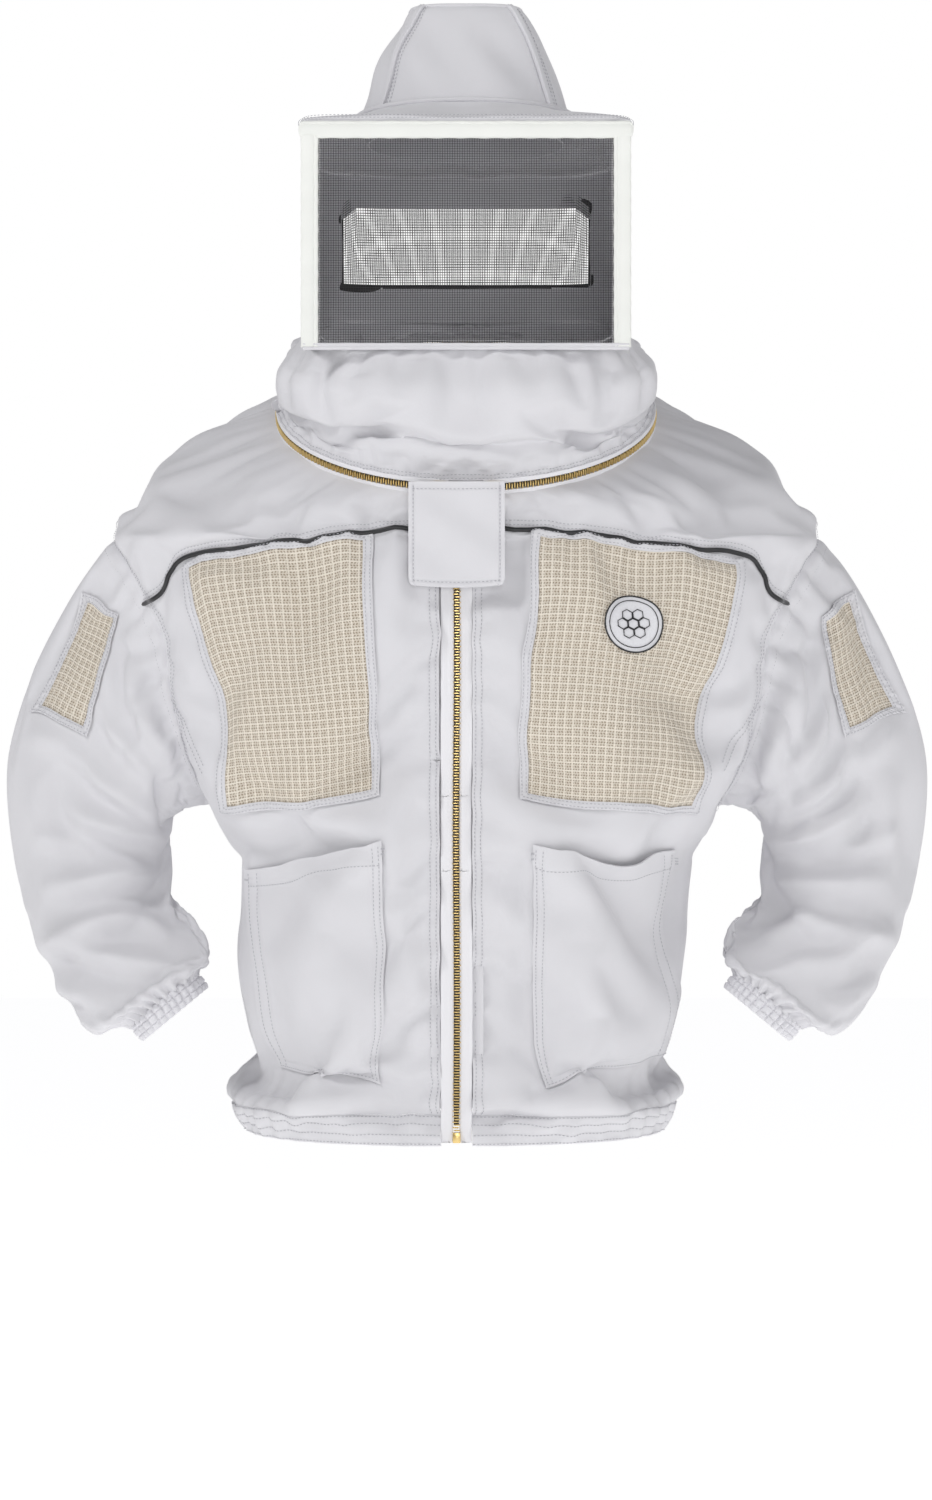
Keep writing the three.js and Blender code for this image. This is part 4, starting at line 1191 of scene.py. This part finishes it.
def make_sleeve(side, name):
    rest = sleeve_rest(side)
    settled = drape(f"sleeve_drape_{name}", rest, sleeve_held(rest), slack=0.14, pressure=3.0,
                    gravity=0.06, bending=4.0, cap=0.018)
    sleeve = creased(settled, rest, [((side * a, b), (side * c, d), width, height)
                                     for (a, b), (c, d), width, height in SLEEVE_CREASES])
    around, along = lattice(241, 210)
    points = sleeve.at(around, along, sleeve_gathers(around, along))
    piece = tube_mesh(f"sleeve_{name}", points)
    dress(piece, "cotton", "jacket", [f"sleeve_{name}"], thickness=0.0012)
    flat = Drape(rest)
    guess = front_guess(flat, 0, lambda p, a: (p[..., 1] < -0.03) & (np.abs(p[..., 0]) > 0.30)
                        & (p[..., 2] > HEM + 0.33) & (p[..., 2] < HEM + 0.50))
    edges = [[(side * x, h) for x, h in line] for line in SLEEVE_VENT]
    patch = Patch(sleeve, *edges, first=guess, rest=flat)
    vent_sheet(f"sleeve_vent_{name}", patch, 60, 110, side < 0, 0.02)
    border(f"sleeve_vent_edge_{name}", patch, 0.0065, side < 0, 3 + side)
    line = np.linspace(0, 1, 200)
    for gap in (0.014, 0.021):
        stitch("jacket", sleeve, line, np.full(200, gap), 0.0012)
    make_cuff(side, name)
    return sleeve


def make_cuff(side, name):
    rounded = ((-1, 36), (3, CUFF_RADIUS), (CUFF_LENGTH - 3, CUFF_RADIUS), (CUFF_LENGTH, 36))
    tube = Tube([cuff_rib(distance, side, radius) for distance, radius in rounded], start=180)
    form = Drape(tube.grid(180, 12))
    around, along = lattice(541, 30)
    wander = 0.5 * np.sin(around * 29) + 0.25 * np.sin(along * 5)
    pleat = np.abs(np.sin(around * math.pi * CUFF_GATHERS + wander))
    swell = swelling(along, 0.5)
    grooves = sum(bell(along - place, 0.035) for place in (0.3, 0.68))
    lift = (pleat**0.6 - 0.5) * 0.0034 * (0.45 + 0.55 * swell) * (1 - 0.45 * grooves) - 0.0009 * grooves
    points = form.at(around, along, lift)
    piece = tube_mesh(f"cuff_{name}", points)
    dress(piece, "elastic", "jacket", [f"cuff_{name}", f"cuff_elastic_{name}"], thickness=0.0016)


sleeves = {name: make_sleeve(side, name) for side, name in ((1, "left"), (-1, "right"))}


# %% Armhole and side seams
def armhole_ring(side, size):
    """Places on the body round the armhole, a little outside its seam."""
    turn = np.linspace(0, 2 * math.pi, 200)
    along = np.cos(turn) * 0.125 * size
    y = 0.008 + np.sin(turn) * 0.080 * size
    height = 0.411 + along * 0.952
    return find(y, height, body, side_guess(side), axis=1)


for side in (1, -1):
    for size in (1.07, 1.13):
        around, along = armhole_ring(side, size)
        stitch("jacket", body, around, along)
    for gap in (0.0, 0.006):
        share = np.linspace(0, 1, 40)
        a, b = find(side * (0.262 - 0.045 * share), 0.389 - 0.057 * share - gap)
        stitch("jacket", body, a, b)

# %% [markdown]
# ## Waistband
# The hem's band is gathered on elastic at the sides and back, and lies flat beside the zip.

# %% Waistband
def band_gathers(around, along):
    share = np.clip(along / WAIST_ALONG, 0, 1)
    folded = np.abs((around + 0.5) % 1.0 - 0.5)
    elastic = np.clip((folded - 0.10) / 0.06, 0.12, 1)
    pleat = np.sin(around * 2 * math.pi * 46 + 1.3 * np.sin(around * 31))
    swell = swelling(share, 0.6)
    stitched = sum(bell(share - place, 0.03) for place in (0.33, 0.66))
    gathers = 0.0016 * elastic * pleat * (0.4 + 0.6 * swell)
    return gathers - 0.0007 * stitched * elastic + 0.0018 * swell - 0.0006


for side, name in ((1, "left"), (-1, "right")):
    share = np.linspace(0, 1, 420)
    edge = zip_edge(side, np.array([0.012]))[0]
    around, along = np.meshgrid(edge + (side * 0.5 - edge) * share, np.linspace(0, WAIST_ALONG, 22))
    points = body.at(around, along, band_gathers(around, along))
    piece = grid_mesh(f"waistband_{name}", points, flip=side < 0)
    replaced = [f"waistband_{name}", "waist_elastic"] if side > 0 else [f"waistband_{name}"]
    dress(piece, "cotton", "jacket", replaced, thickness=0.0022)
    line = np.linspace(edge, side * 0.5, 300)
    for place in (0.06, 0.33, 0.66, 0.94):
        height = np.full(300, WAIST_ALONG * place)
        stitch("jacket", body, line, height, band_gathers(line, height) + 0.0004)
    up = np.linspace(0.028, 0.553, 200)
    for inset in (0.0025, 0.0075):
        a, b = find(FRONT_ZIP_X + side * (SLOT_HALF + inset), up)
        stitch("jacket", body, a, b, waist_roll(a, b) + 0.0006)

# %% [markdown]
# ## Zips
# Teeth are bevelled blocks, set alternately on two cloth tapes so that they mesh along the middle.

# %% Teeth and tapes
TOOTH_PITCH = 0.0047
tooth_shape = template("box", np.array([0.00125, 0.0056, 0.0026]), bevel=0.22)


def zip_teeth(name, path, normals, side, body_name, replaced, start):
    places, direction, share = walk(path, TOOTH_PITCH, start)
    index = np.linspace(0, 1, len(path))
    out = np.stack([np.interp(share, index, normals[:, k]) for k in range(3)], axis=1)
    frames = axes(direction, out)
    places = places + side * frames[:, 1] * 0.0005
    piece = copies(name, tooth_shape, places, frames)
    dress(piece, "brass", body_name, replaced, smooth=False)


def tape(name, path, normals, width, body_name, replaced):
    piece = loft(name, path, normals, pillow(width, 0.0013, [(0, 0.0005, 0.0003)], 14))
    dress(piece, "zip_tape", body_name, replaced)


def zip_shadow_strip(name, path, normals, width, body_name):
    """A dark strip along the middle of the teeth, set behind them: painted shade for the shadowed gap between
    the teeth, not a part of the zip.
    """
    piece = loft(name, path - 0.0009 * normals, normals, pillow(width, 0.0010, [], 8))
    dress(piece, "piping", body_name)


zip_low, zip_high = HEM + 0.0125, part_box("front_zip_teeth_left")[1][2]
front_y = 0.5 * (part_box("front_zip_teeth_left")[0][1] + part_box("front_zip_teeth_left")[1][1])
height = np.linspace(zip_low, zip_high, 200)
drift = 0.0005 * np.sin(height * 21)
line = np.stack([FRONT_ZIP_X + drift, np.full(200, front_y), height], axis=1)
towards = np.tile([0.0, -1.0, 0.0], (200, 1))
for side, name, start in ((1, "left", 0.25), (-1, "right", 0.75)):
    zip_teeth(f"front_zip_teeth_{name}", line, towards, -side, "jacket", [f"front_zip_teeth_{name}"], start)
    beside = line + np.array([side * 0.0079, 0.0012, 0])
    beside[0, 2] = HEM + 0.003
    tape(f"front_zip_tape_{name}", beside, towards, 0.0105, "jacket", [f"front_zip_tape_{name}"])
# A dark strip behind the front zip's teeth: painted shade for the gap between them.
zip_shadow_strip("front_zip_shadow_strip", line[2:-2], towards[2:-2], 0.0046, "jacket")
behind = line[10:185] + np.array([0, 0.0052, 0])
placket = loft("zip_placket", behind, towards[10:185], pillow(0.045, 0.0014, [(0.019, 0.001, 0.0004)]))
dress(placket, "cotton", "jacket", ["zip_placket"])

ring_turn = np.radians(np.linspace(5, 355, 700))
ring_out = np.sin(ring_turn)[:, None] * np.array([1.0, 0, 0]) - np.cos(ring_turn)[:, None] * ring_back
for side, half, body_name, start in ((-1, "jacket", "jacket", 0.25), (1, "hood", "hood", 0.75)):
    path = ring_out * RING_RADIUS
    zip_teeth(f"neck_zip_teeth_{half}", path, ring_out, side, body_name, [f"neck_zip_teeth_{half}"], start)
    # A dark strip behind the neck zip's teeth: painted shade for the gap between them.
    zip_shadow_strip(f"neck_zip_shadow_strip_{half}", path + side * 0.0012 * ring_up, ring_out, 0.0022, body_name)
    beside = path + side * 0.0052 * ring_up
    tape(f"neck_zip_tape_{half}", beside, ring_out, 0.0040, body_name, [f"neck_zip_tape_{half}"])


# %% Box, sliders and pull
def bevelled(name, body_name):
    """The frame's own metal piece with its edges eased and its brass finish."""
    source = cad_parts[name]
    piece = source.copy()
    piece.data = source.data.copy()
    piece.name = piece.data.name = f"{name}_eased"
    bpy.context.scene.collection.objects.link(piece)
    edit(piece, lambda: bpy.ops.mesh.remove_doubles(threshold=1e-5),
         lambda: bpy.ops.mesh.dissolve_limited(angle_limit=0.02))
    apply_modifier(piece, "BEVEL", width=0.0005, segments=2, limit_method="ANGLE")
    return dress(piece, "brass", body_name, [name])


for name, body_name in (("front_zip_box", "jacket"), ("front_slider", "front_slider"),
                        ("front_slider_pull", "front_slider_pull"), ("neck_slider_left", "neck_slider_left"),
                        ("neck_slider_right", "neck_slider_right")):
    bevelled(name, body_name)

# %% [markdown]
# ## The hood
# A soft collar rises from the neck zip and rolls out under the veil. Above it the walls are cotton with
# netting windows, the veil is a flat bound frame, and the brim carries a crown of four panels and a top.

# %% Collar
def hood_section(height, tilt, half_width, half_depth, power=5.0):
    lean = math.radians(tilt)
    along = (0, half_depth * math.cos(lean), half_depth * math.sin(lean))
    return (0, 0, HEM + height), (half_width, 0, 0), along, power


HOOD_WIDTH, HOOD_DEPTH = 0.140, 0.150
COLLAR_TILT, COLLAR_TOP, WALL_TOP = 11, 0.714, 0.876
collar_tube = Tube([
    ring_section(RING_RADIUS, RING_RADIUS, 0.0055),
    ring_section(RING_RADIUS - 0.009, RING_RADIUS - 0.006, 0.015, 2.1),
    hood_section(0.661, 25, 0.155, 0.167, 2.2),
    hood_section(0.678, 21, 0.163, 0.171, 2.6),
    hood_section(0.697, 16, 0.164, 0.168, 3.2),
    hood_section(0.709, 12, 0.157, 0.162, 3.8),
    hood_section(COLLAR_TOP, COLLAR_TILT, HOOD_WIDTH + 0.004, HOOD_DEPTH + 0.002, 4),
], start=90)


def square_front(grid, low, high, power=16.0):
    """Bring the front corners out to the veil's posts, between two heights with soft ends."""
    x, y, z = np.abs(grid[..., 0]) / HOOD_WIDTH, np.abs(grid[..., 1]) / HOOD_DEPTH, grid[..., 2] - HEM
    round_now = (x**5 + y**5) ** 0.2
    corner = round_now / (x**power + y**power) ** (1 / power)
    forward = np.clip(-grid[..., 1] / 0.06, 0, 1)
    within = np.clip((z - low) / 0.014 + 0.5, 0, 1) * np.clip((high - z) / 0.014 + 0.5, 0, 1)
    squared = grid.copy()
    squared[..., :2] *= (1 + (corner - 1) * forward * within)[..., None]
    return squared


collar_rest = square_front(collar_tube.grid(150, 46), 0.706, 1.0)
collar_up = np.linspace(0, 1, 46)[:, None]
collar_pins = np.maximum(np.clip(1.6 - collar_up / 0.07, 0, 1), soft_edge(1 - collar_up, 0.04))
collar_pins = collar_pins * np.ones((46, 151))


def above_zip(points):
    """Keep the collar above its seam and clear of the sliders, which run round outside the teeth."""
    rise = np.maximum(points @ ring_up, 0.0069)
    outward = points - (points @ ring_up)[..., None] * ring_up
    reach = np.linalg.norm(outward, axis=-1)
    room = RING_RADIUS + 0.0003 + 1.5 * np.maximum(rise - 0.0064, 0)
    return outward * (np.minimum(reach, room) / reach)[..., None] + rise[..., None] * ring_up


collar = Drape(above_zip(
    drape("collar_drape", collar_rest, collar_pins, slack=0.11, pressure=2.0, gravity=0.3, cap=0.015)))


def collar_roll(around, along):
    """The roll under the veil and the tuck below it."""
    front = np.cos((around - 0.5) * 2 * math.pi) * 0.5 + 0.5
    roll = 0.0080 * bell(along - 0.78, 0.16)
    from_tuck = along - 0.36 - 0.05 * np.sin(around * 19)
    tuck = -0.0105 * bell(from_tuck, 0.07) * (0.3 + 0.7 * front)
    return (roll + tuck) * swelling(along, 0.4)


around, along = lattice(361, 120)
points = above_zip(collar.at(around, along, collar_roll(around, along)))
piece = tube_mesh("hood_collar", points)
dress(piece, "cotton", "hood", ["hood_collar"], thickness=0.0014)
ends = np.linspace(0, 1, 400)
for place in (0.035, 0.075):
    stitch("hood", collar, ends, np.full(400, place))

# %% Hood walls with their windows
walls = Drape(square_front(Tube([
    hood_section(COLLAR_TOP - 0.001, COLLAR_TILT, HOOD_WIDTH, HOOD_DEPTH),
    hood_section(0.750, 8, HOOD_WIDTH, HOOD_DEPTH),
    hood_section(0.790, 5, HOOD_WIDTH, HOOD_DEPTH),
    hood_section(0.835, 2, HOOD_WIDTH, HOOD_DEPTH),
    hood_section(WALL_TOP, 0, HOOD_WIDTH, HOOD_DEPTH),
], start=90).grid(480, 60), 0.5, 1.0))
WALL_FRONT = -0.1475
WALL_BACK = 0.100


def wall_place(y):
    """The share of the way round, from the back, at which the walls first come forward of a line."""
    return np.linspace(0, 1, 481)[np.argmax(walls.points[30, :, 1] < y)]


SIDE_FRONT = 0.5 + 0.5 * np.abs(wall_place(WALL_FRONT) - 0.5) * 2
CORNER = wall_place(WALL_BACK)
SIDE_WINDOW = ([(-128, 742), (-128, 848)], [(60, 774), (60, 848)],
               [(-128, 742), (60, 774)], [(-128, 848), (60, 848)])
REAR_WINDOW = ([(-118, 774), (-118, 851)], [(118, 774), (118, 851)], [(-118, 774), (118, 774)],
               [(-118, 838), (-104, 851), (104, 851), (118, 838)])


def billow(around, along):
    """Cotton between its seams is never quite flat."""
    swell = swelling(along, 0.5)
    return 0.0016 * swell * np.sin(around * 41 + 3 * along) * np.sin(around * 17 + 7 * along + 1.0)


def wall_piece(name, around_from, around_to, patch, columns, rows):
    around, along = lattice(columns, rows, (around_from, around_to))
    points = walls.at(around, along, billow(around, along))
    piece = grid_mesh(name, points)
    across = points[..., patch.axis]
    low = np.interp(across, patch.lines[2][:, 0], patch.lines[2][:, 1]) + HEM
    high = np.interp(across, patch.lines[3][:, 0], patch.lines[3][:, 1]) + HEM
    inside = (across > patch.lines[2][0, 0]) & (across < patch.lines[2][-1, 0]) \
        & (points[..., 2] > low) & (points[..., 2] < high)
    whole = inside[1:, 1:] & inside[:-1, 1:] & inside[1:, :-1] & inside[:-1, :-1]
    delete_faces(piece, whole.reshape(-1))
    dress(piece, "cotton", "hood", [name], thickness=0.0012)


def rods(name, lines, normals, width):
    """Square rods along many lines at once: lines and normals are (count, steps, 3)."""
    along = np.gradient(lines, axis=1)
    along /= np.maximum(np.linalg.norm(along, axis=2, keepdims=True), 1e-9)
    side = np.cross(along, normals)
    corners = np.stack([lines + width / 2 * (a * side + b * normals)
                        for a, b in ((1, 0), (0, 1), (-1, 0), (0, -1))], axis=2)
    count, steps = lines.shape[:2]
    start = (np.arange(count)[:, None] * steps + np.arange(steps - 1)) * 4
    faces = [np.stack([start + c, start + (c + 1) % 4, start + 4 + (c + 1) % 4, start + 4 + c], axis=-1)
             for c in range(4)]
    first = np.arange(count) * steps * 4
    last = first + (steps - 1) * 4
    ends = [first[:, None] + np.array([3, 2, 1, 0]), last[:, None] + np.array([0, 1, 2, 3])]
    every = np.concatenate([np.concatenate(faces, axis=1).reshape(-1, 4)] + ends)
    mesh = bpy.data.meshes.new(name)
    mesh.from_pydata(corners.reshape(-1, 3).tolist(), [], every.tolist())
    piece = bpy.data.objects.new(name, mesh)
    bpy.context.scene.collection.objects.link(piece)
    edit(piece, lambda: bpy.ops.mesh.normals_make_consistent(inside=False))
    return piece


def netting(name, surface, spot, size, pitch, wire, body_name, replaced, steps=14):
    """A woven net of real wires: two crossing sets of rods, each a little to its own side of the other."""
    for axis, (length, way) in enumerate(zip(size, ("upright", "level"))):
        count = int(length / pitch)
        fixed, free = np.meshgrid((np.arange(count) + 0.5) / count, np.linspace(0, 1, steps), indexing="ij")
        around, along = spot(fixed, free) if axis == 0 else spot(free, fixed)
        lines = surface.at(around, along, (0.5 - axis) * wire * 0.6)
        piece = rods(f"{name}_{way}", lines, surface.normal(around, along), wire)
        dress(piece, "black_mesh", body_name, replaced if axis == 0 else (), smooth=False)


def edging(name, patch, width, body_name, lift=0.0009):
    around, along = patch.loop(0.0, 400)
    path = patch.surface.at(around, along, lift)[:-1]
    normals = patch.surface.normal(around, along)[:-1]
    piece = loft(name, path, normals, pillow(width, 0.0026, [], 10), closed=True)
    dress(piece, "piping", body_name)


NET_PITCH = 0.0021
for side, name in ((1, "left"), (-1, "right")):
    guess = front_guess(walls, 1, lambda p, a: (side * p[..., 0] > 0.13) & (p[..., 1] < 0.07))
    patch = Patch(walls, *SIDE_WINDOW, first=guess, rest=walls, axis=1)
    first, last = (CORNER, 1 - SIDE_FRONT) if side < 0 else (SIDE_FRONT, 1 - CORNER)
    wall_piece(f"hood_side_{name}", first, last, patch, 130, 84)
    netting(f"side_mesh_{name}", walls, patch.spot, (0.188, 0.090), NET_PITCH, 0.00052, "hood",
            [f"side_mesh_{name}"])
    edging(f"side_window_edge_{name}", patch, 0.008, "hood")
guess = front_guess(walls, 0, lambda p, a: (p[..., 1] > 0.10) & (a < 0.5) & (np.abs(p[..., 0]) < 0.1))
patch = Patch(walls, *REAR_WINDOW, first=guess, rest=walls)
wall_piece("hood_back", -CORNER, CORNER, patch, 150, 84)
netting("rear_mesh", walls, patch.spot, (0.236, 0.077), NET_PITCH, 0.00050, "hood", ["rear_mesh"])
edging("rear_window_edge", patch, 0.008, "hood")

# %% Veil
VEIL_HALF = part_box("veil_binding_left")[1][0]
VEIL_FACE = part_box("veil_binding_left")[0][1]
VEIL_TOP, VEIL_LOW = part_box("veil_binding_top")[1][2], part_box("veil_binding_bottom")[0][2]
BINDING = 0.015
half = VEIL_HALF - BINDING + 0.003
x, z = lattice(40, 30, (-half, half), (VEIL_LOW + 0.002, VEIL_TOP - BINDING + 0.003))
sag = 0.0012 * np.sin(x * 31 + 1) * np.sin(z * 43)
veil = Drape(np.stack([x, np.full(x.shape, VEIL_FACE + 0.0032) + sag, z], axis=-1))
size = (2 * half, float(z.max() - z.min()))
netting("veil_screen", veil, lambda s, t: (s, t), size, NET_PITCH, 0.00036, "hood", ["veil_screen"], steps=24)


def binding(name, start, end, width, fold, replaced, rounded=0.0, finish_name="binding"):
    """A padded binding strip, with a fold line and rounded ends."""
    share = np.concatenate([np.linspace(0, 0.02, 8), np.linspace(0.03, 0.97, 90), np.linspace(0.98, 1, 8)])
    start, end = np.array(start), np.array(end)
    path = start + (end - start) * share[:, None]
    path[:, 1] += 0.0003 * np.sin(share * 37)
    distance = np.minimum(share, 1 - share) * np.linalg.norm(end - start)
    near = np.clip(distance / 0.005, 0, 1)
    scale = 1 - rounded * (1 - np.sqrt(np.clip(1 - (1 - near) ** 2, 0, 1)))
    profile = pillow(width, 0.0056, [(fold, 0.0007, 0.0009)])
    profile = profile[:, None] * scale[None, :, None]
    ripple = 1 + 0.02 * np.sin(share * 90 + 2)
    piece = loft(name, path, (0, -1, 0), profile * ripple[None, :, None])
    dress(piece, finish_name, "hood", replaced)
    return piece


middle_y = VEIL_FACE + 0.0029
post_x = VEIL_HALF - BINDING / 2
post_top = VEIL_TOP - BINDING + 0.002
for side, name in ((1, "left"), (-1, "right")):
    ends = [(side * post_x, middle_y, height) for height in (VEIL_LOW + 0.001, post_top)]
    binding(f"veil_binding_{name}", *ends, BINDING, side * -0.0042, [f"veil_binding_{name}"])
ends = [(side * (VEIL_HALF + 0.002), middle_y, VEIL_TOP - BINDING / 2) for side in (-1, 1)]
binding("veil_binding_top", *ends, BINDING, -0.0045, ["veil_binding_top"], rounded=0.7)
ends = [(side * (VEIL_HALF - 0.002), middle_y, VEIL_LOW + 0.0015) for side in (-1, 1)]
binding("veil_binding_bottom", *ends, 0.006, 0.0, ["veil_binding_bottom"], finish_name="cotton")

# %% Brim and crown
brim = Drape(square_front(Tube([
    hood_section(WALL_TOP, 0, HOOD_WIDTH + 0.003, HOOD_DEPTH + 0.004),
    hood_section(WALL_TOP + 0.005, 0, HOOD_WIDTH + 0.002, HOOD_DEPTH + 0.003),
    hood_section(0.890, 0, 0.124, 0.128, 3.4),
    hood_section(0.898, 0, 0.106, 0.108, 2.4),
    hood_section(0.905, 0, 0.097, 0.097, 2.0),
], start=90).grid(400, 30), 0.5, 0.886))
around, along = lattice(361, 60)
dimple = 0.0022 * np.sin(around * 2 * math.pi * 9 + 2) * np.sin(math.pi * along) * np.sin(around * 17)
points = brim.at(around, along, dimple)
piece = tube_mesh("hood_brim", points)
dress(piece, "cotton", "hood", ["hood_brim"], thickness=0.0025)
for place in (0.10, 0.16):
    stitch("hood", brim, np.linspace(0, 1, 400), np.full(400, place))

CROWN_BASE, CROWN_TOP = 0.905, 0.998
crown = Drape(Tube([
    hood_section(CROWN_BASE, 0, 0.096, 0.096, 2.0),
    hood_section(0.930, 0, 0.0865, 0.0865, 2.3),
    hood_section(0.960, 0, 0.0725, 0.0725, 2.9),
    hood_section(0.985, 0, 0.0595, 0.0590, 3.5),
    hood_section(CROWN_TOP - 0.003, 0, 0.0535, 0.0530, 3.8),
    hood_section(CROWN_TOP, 0, 0.0500, 0.0495, 3.8),
], start=90).grid(240, 60))


def crown_crease(around, along):
    """Slack diagonal creases, strongest halfway up each panel."""
    swell = swelling(along, 0.6)
    turn = around * 2 * math.pi
    slant = np.sin(turn * 5 + along * 4.2) * np.sin(turn * 3 - along * 2.5 + 1)
    return swell * (0.0030 * slant + 0.0012 * np.sin(around * 57 + along * 8))


def seam_around(corner, along):
    """A crown seam keeps nearly upright while the crown narrows."""
    return corner + np.sign(np.sin(corner * 4 * math.pi)) * (0.017 - 0.030 * along)


CROWN_CORNERS = {"crown_left": (0.625, 0.875), "crown_back": (0.875, 1.125),
                 "crown_right": (0.125, 0.375), "crown_front": (0.375, 0.625)}
for name, (low, high) in CROWN_CORNERS.items():
    share, along = lattice(90, 80)
    first, last = seam_around(low, along), seam_around(high, along)
    around = first + (last - first) * share
    tuck = -0.0010 * np.exp(-((np.minimum(share, 1 - share) / 0.03) ** 2))
    piece = grid_mesh(name, crown.at(around, along, crown_crease(around, along) + tuck))
    dress(piece, "cotton", "hood", [name], thickness=0.0012)
    along = np.linspace(0.0, 1.0, 80)
    around = seam_around(low, along)
    line = crown.at(around, along, crown_crease(around, along) + 0.0008)
    profile = pillow(0.0062, 0.0040, [(0, 0.0006, 0.0006)], 12)
    seam = loft(f"{name}_seam", line, crown.normal(around, along), profile)
    dress(seam, "cotton", "hood")
    for inset in (0.010, 0.016):
        stitch("hood", crown, around + inset, along, crown_crease(around + inset, along) + 0.0006)
share, turn = np.meshgrid(np.linspace(0.0, 1.0, 30), np.linspace(0, 1, 121), indexing="ij")
ring = crown.at(turn, np.ones(turn.shape))
top_centre = np.array([0, 0, HEM + CROWN_TOP])
dome = top_centre + (ring - top_centre) * (1 - share[..., None] * 0.999)
dome[..., 2] += 0.0058 * (1 - (1 - share) ** 2.2) - 0.0008 * np.sin(turn * 31) * share * (1 - share) * 4
piece = tube_mesh("crown_top", dome)
dress(piece, "cotton", "hood", ["crown_top"], thickness=0.0012)
round_once = np.linspace(0, 1, 181)
for name, surface, along, lift, radius in (("crown_top_seam", crown, 1.0, 0.0, 0.0019),
                                           ("crown_base_seam", brim, 0.985, 0.001, 0.0024)):
    line = surface.at(round_once, np.full(181, along), lift)[:-1]
    cord(name, line, radius, "cotton", "hood", closed=True)
band = Tube([hood_section(h, 0, 0.0885, 0.0885, 2.0) for h in (0.8825, 0.890, 0.9045)], start=90)
piece = grid_mesh("sweatband", band.grid(180, 12), closed=True)
dress(piece, "elastic", "hood", ["sweatband"], thickness=0.0016)

# %% Flap over the zips
flap_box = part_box("neck_flap")
flap_low, flap_high = flap_box[0][2], flap_box[1][2]
FLAP_WIDTH, FLAP_LENGTH = flap_box[1][0] - flap_box[0][0], flap_high - flap_low
u, v = np.meshgrid(np.linspace(-1, 1, 80), np.linspace(0, 1, 86))
corner = np.clip((0.10 - v) / 0.10, 0, 1)
narrow = 1 - 0.075 * (1 - np.sqrt(np.clip(1 - corner**2, 0, 1)))
flap_x = FRONT_ZIP_X + u * FLAP_WIDTH / 2 * narrow
flap_z = flap_low + v * FLAP_LENGTH - 0.0022 * (1 - u**2) * (1 - v)
wrinkle = 0.0020 * np.sin(3.1 * u + 8.5 * v + 0.6) + 0.0011 * np.sin(5.5 * u - 6 * v)
curl = 0.0010 * np.abs(u) ** 6 + 0.0012 * (1 - v) ** 4
curl += 0.0008 * (np.exp(-(((np.abs(u) - 0.90) / 0.025) ** 2)) + bell(v - 0.05, 0.014))
flap_y = flap_box[0][1] - 0.0026 + wrinkle * np.sin(math.pi * np.clip(v * 0.9 + 0.05, 0, 1)) + curl
flap_surface = Drape(np.stack([flap_x, flap_y, flap_z], axis=-1))
flap = grid_mesh("neck_flap", flap_surface.points)
dress(flap, "cotton", "neck_flap", ["neck_flap"], thickness=0.0016)
up, across = np.linspace(0.03, 0.97, 80), np.linspace(0.03, 0.97, 80)
for edge in (0.05, 0.95):
    stitch("neck_flap", flap_surface, np.full(80, edge), up, 0.0006)
for edge in (0.05, 0.93):
    stitch("neck_flap", flap_surface, across, np.full(80, edge), 0.0006)

# %% Badge
BADGE_X, BADGE_HEIGHT, BADGE_RADIUS = 0.139, 0.448, 0.0245


def badge_spot(x, h):
    return find(BADGE_X + np.asarray(x), BADGE_HEIGHT + np.asarray(h))


turn, reach = np.meshgrid(np.linspace(0, 2 * math.pi, 97), np.linspace(1.0, 0.002, 16))
a, b = badge_spot(BADGE_RADIUS * reach * np.cos(turn), BADGE_RADIUS * reach * np.sin(turn))
piece = tube_mesh("chest_badge", body.at(a, b, 0.0030))
dress(piece, "white_thread", "jacket", ["chest_badge"], thickness=0.0012)


def badge_line(name, x, h, radius, sides):
    """A closed line of black embroidery on the badge."""
    a, b = badge_spot(x, h)
    line = loft(name, body.at(a, b, 0.0034), body.normal(a, b), circle(radius, sides), True)
    dress(line, "black_thread", "jacket")


turn = np.linspace(0, 2 * math.pi, 121)[:-1]
for radius, width in ((0.0243, 0.0007), (0.0205, 0.0004)):
    badge_line(f"badge_ring_{int(radius * 1e4)}", radius * np.cos(turn), radius * np.sin(turn), width, 6)
HEX = 0.0048
hexagon = np.radians(np.arange(6) * 60 + 30)
spokes = np.radians(np.arange(6) * 60)
centres = [(0, 0)] + [(HEX * 1.9 * math.cos(t), HEX * 1.9 * math.sin(t)) for t in spokes]
for index, (cx, cz) in enumerate(centres):
    badge_line(f"badge_cell_{index}", cx + HEX * np.cos(hexagon), cz + HEX * np.sin(hexagon), 0.00045, 5)

# %% Stitching
make_stitches()

# %% Finishes of what is left of the frame
print("frame nodes:", {name: round(node.dimensions.x, 3) for name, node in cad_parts.items()
                       if name in ("flap_hook_pad", "veil_frame_wire")})
for name, look in (("flap_hook_pad", "hook_pad"), ("veil_frame_wire", "wire")):
    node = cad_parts[name]
    node.data.materials.clear()
    node.data.materials.append(finish[look])
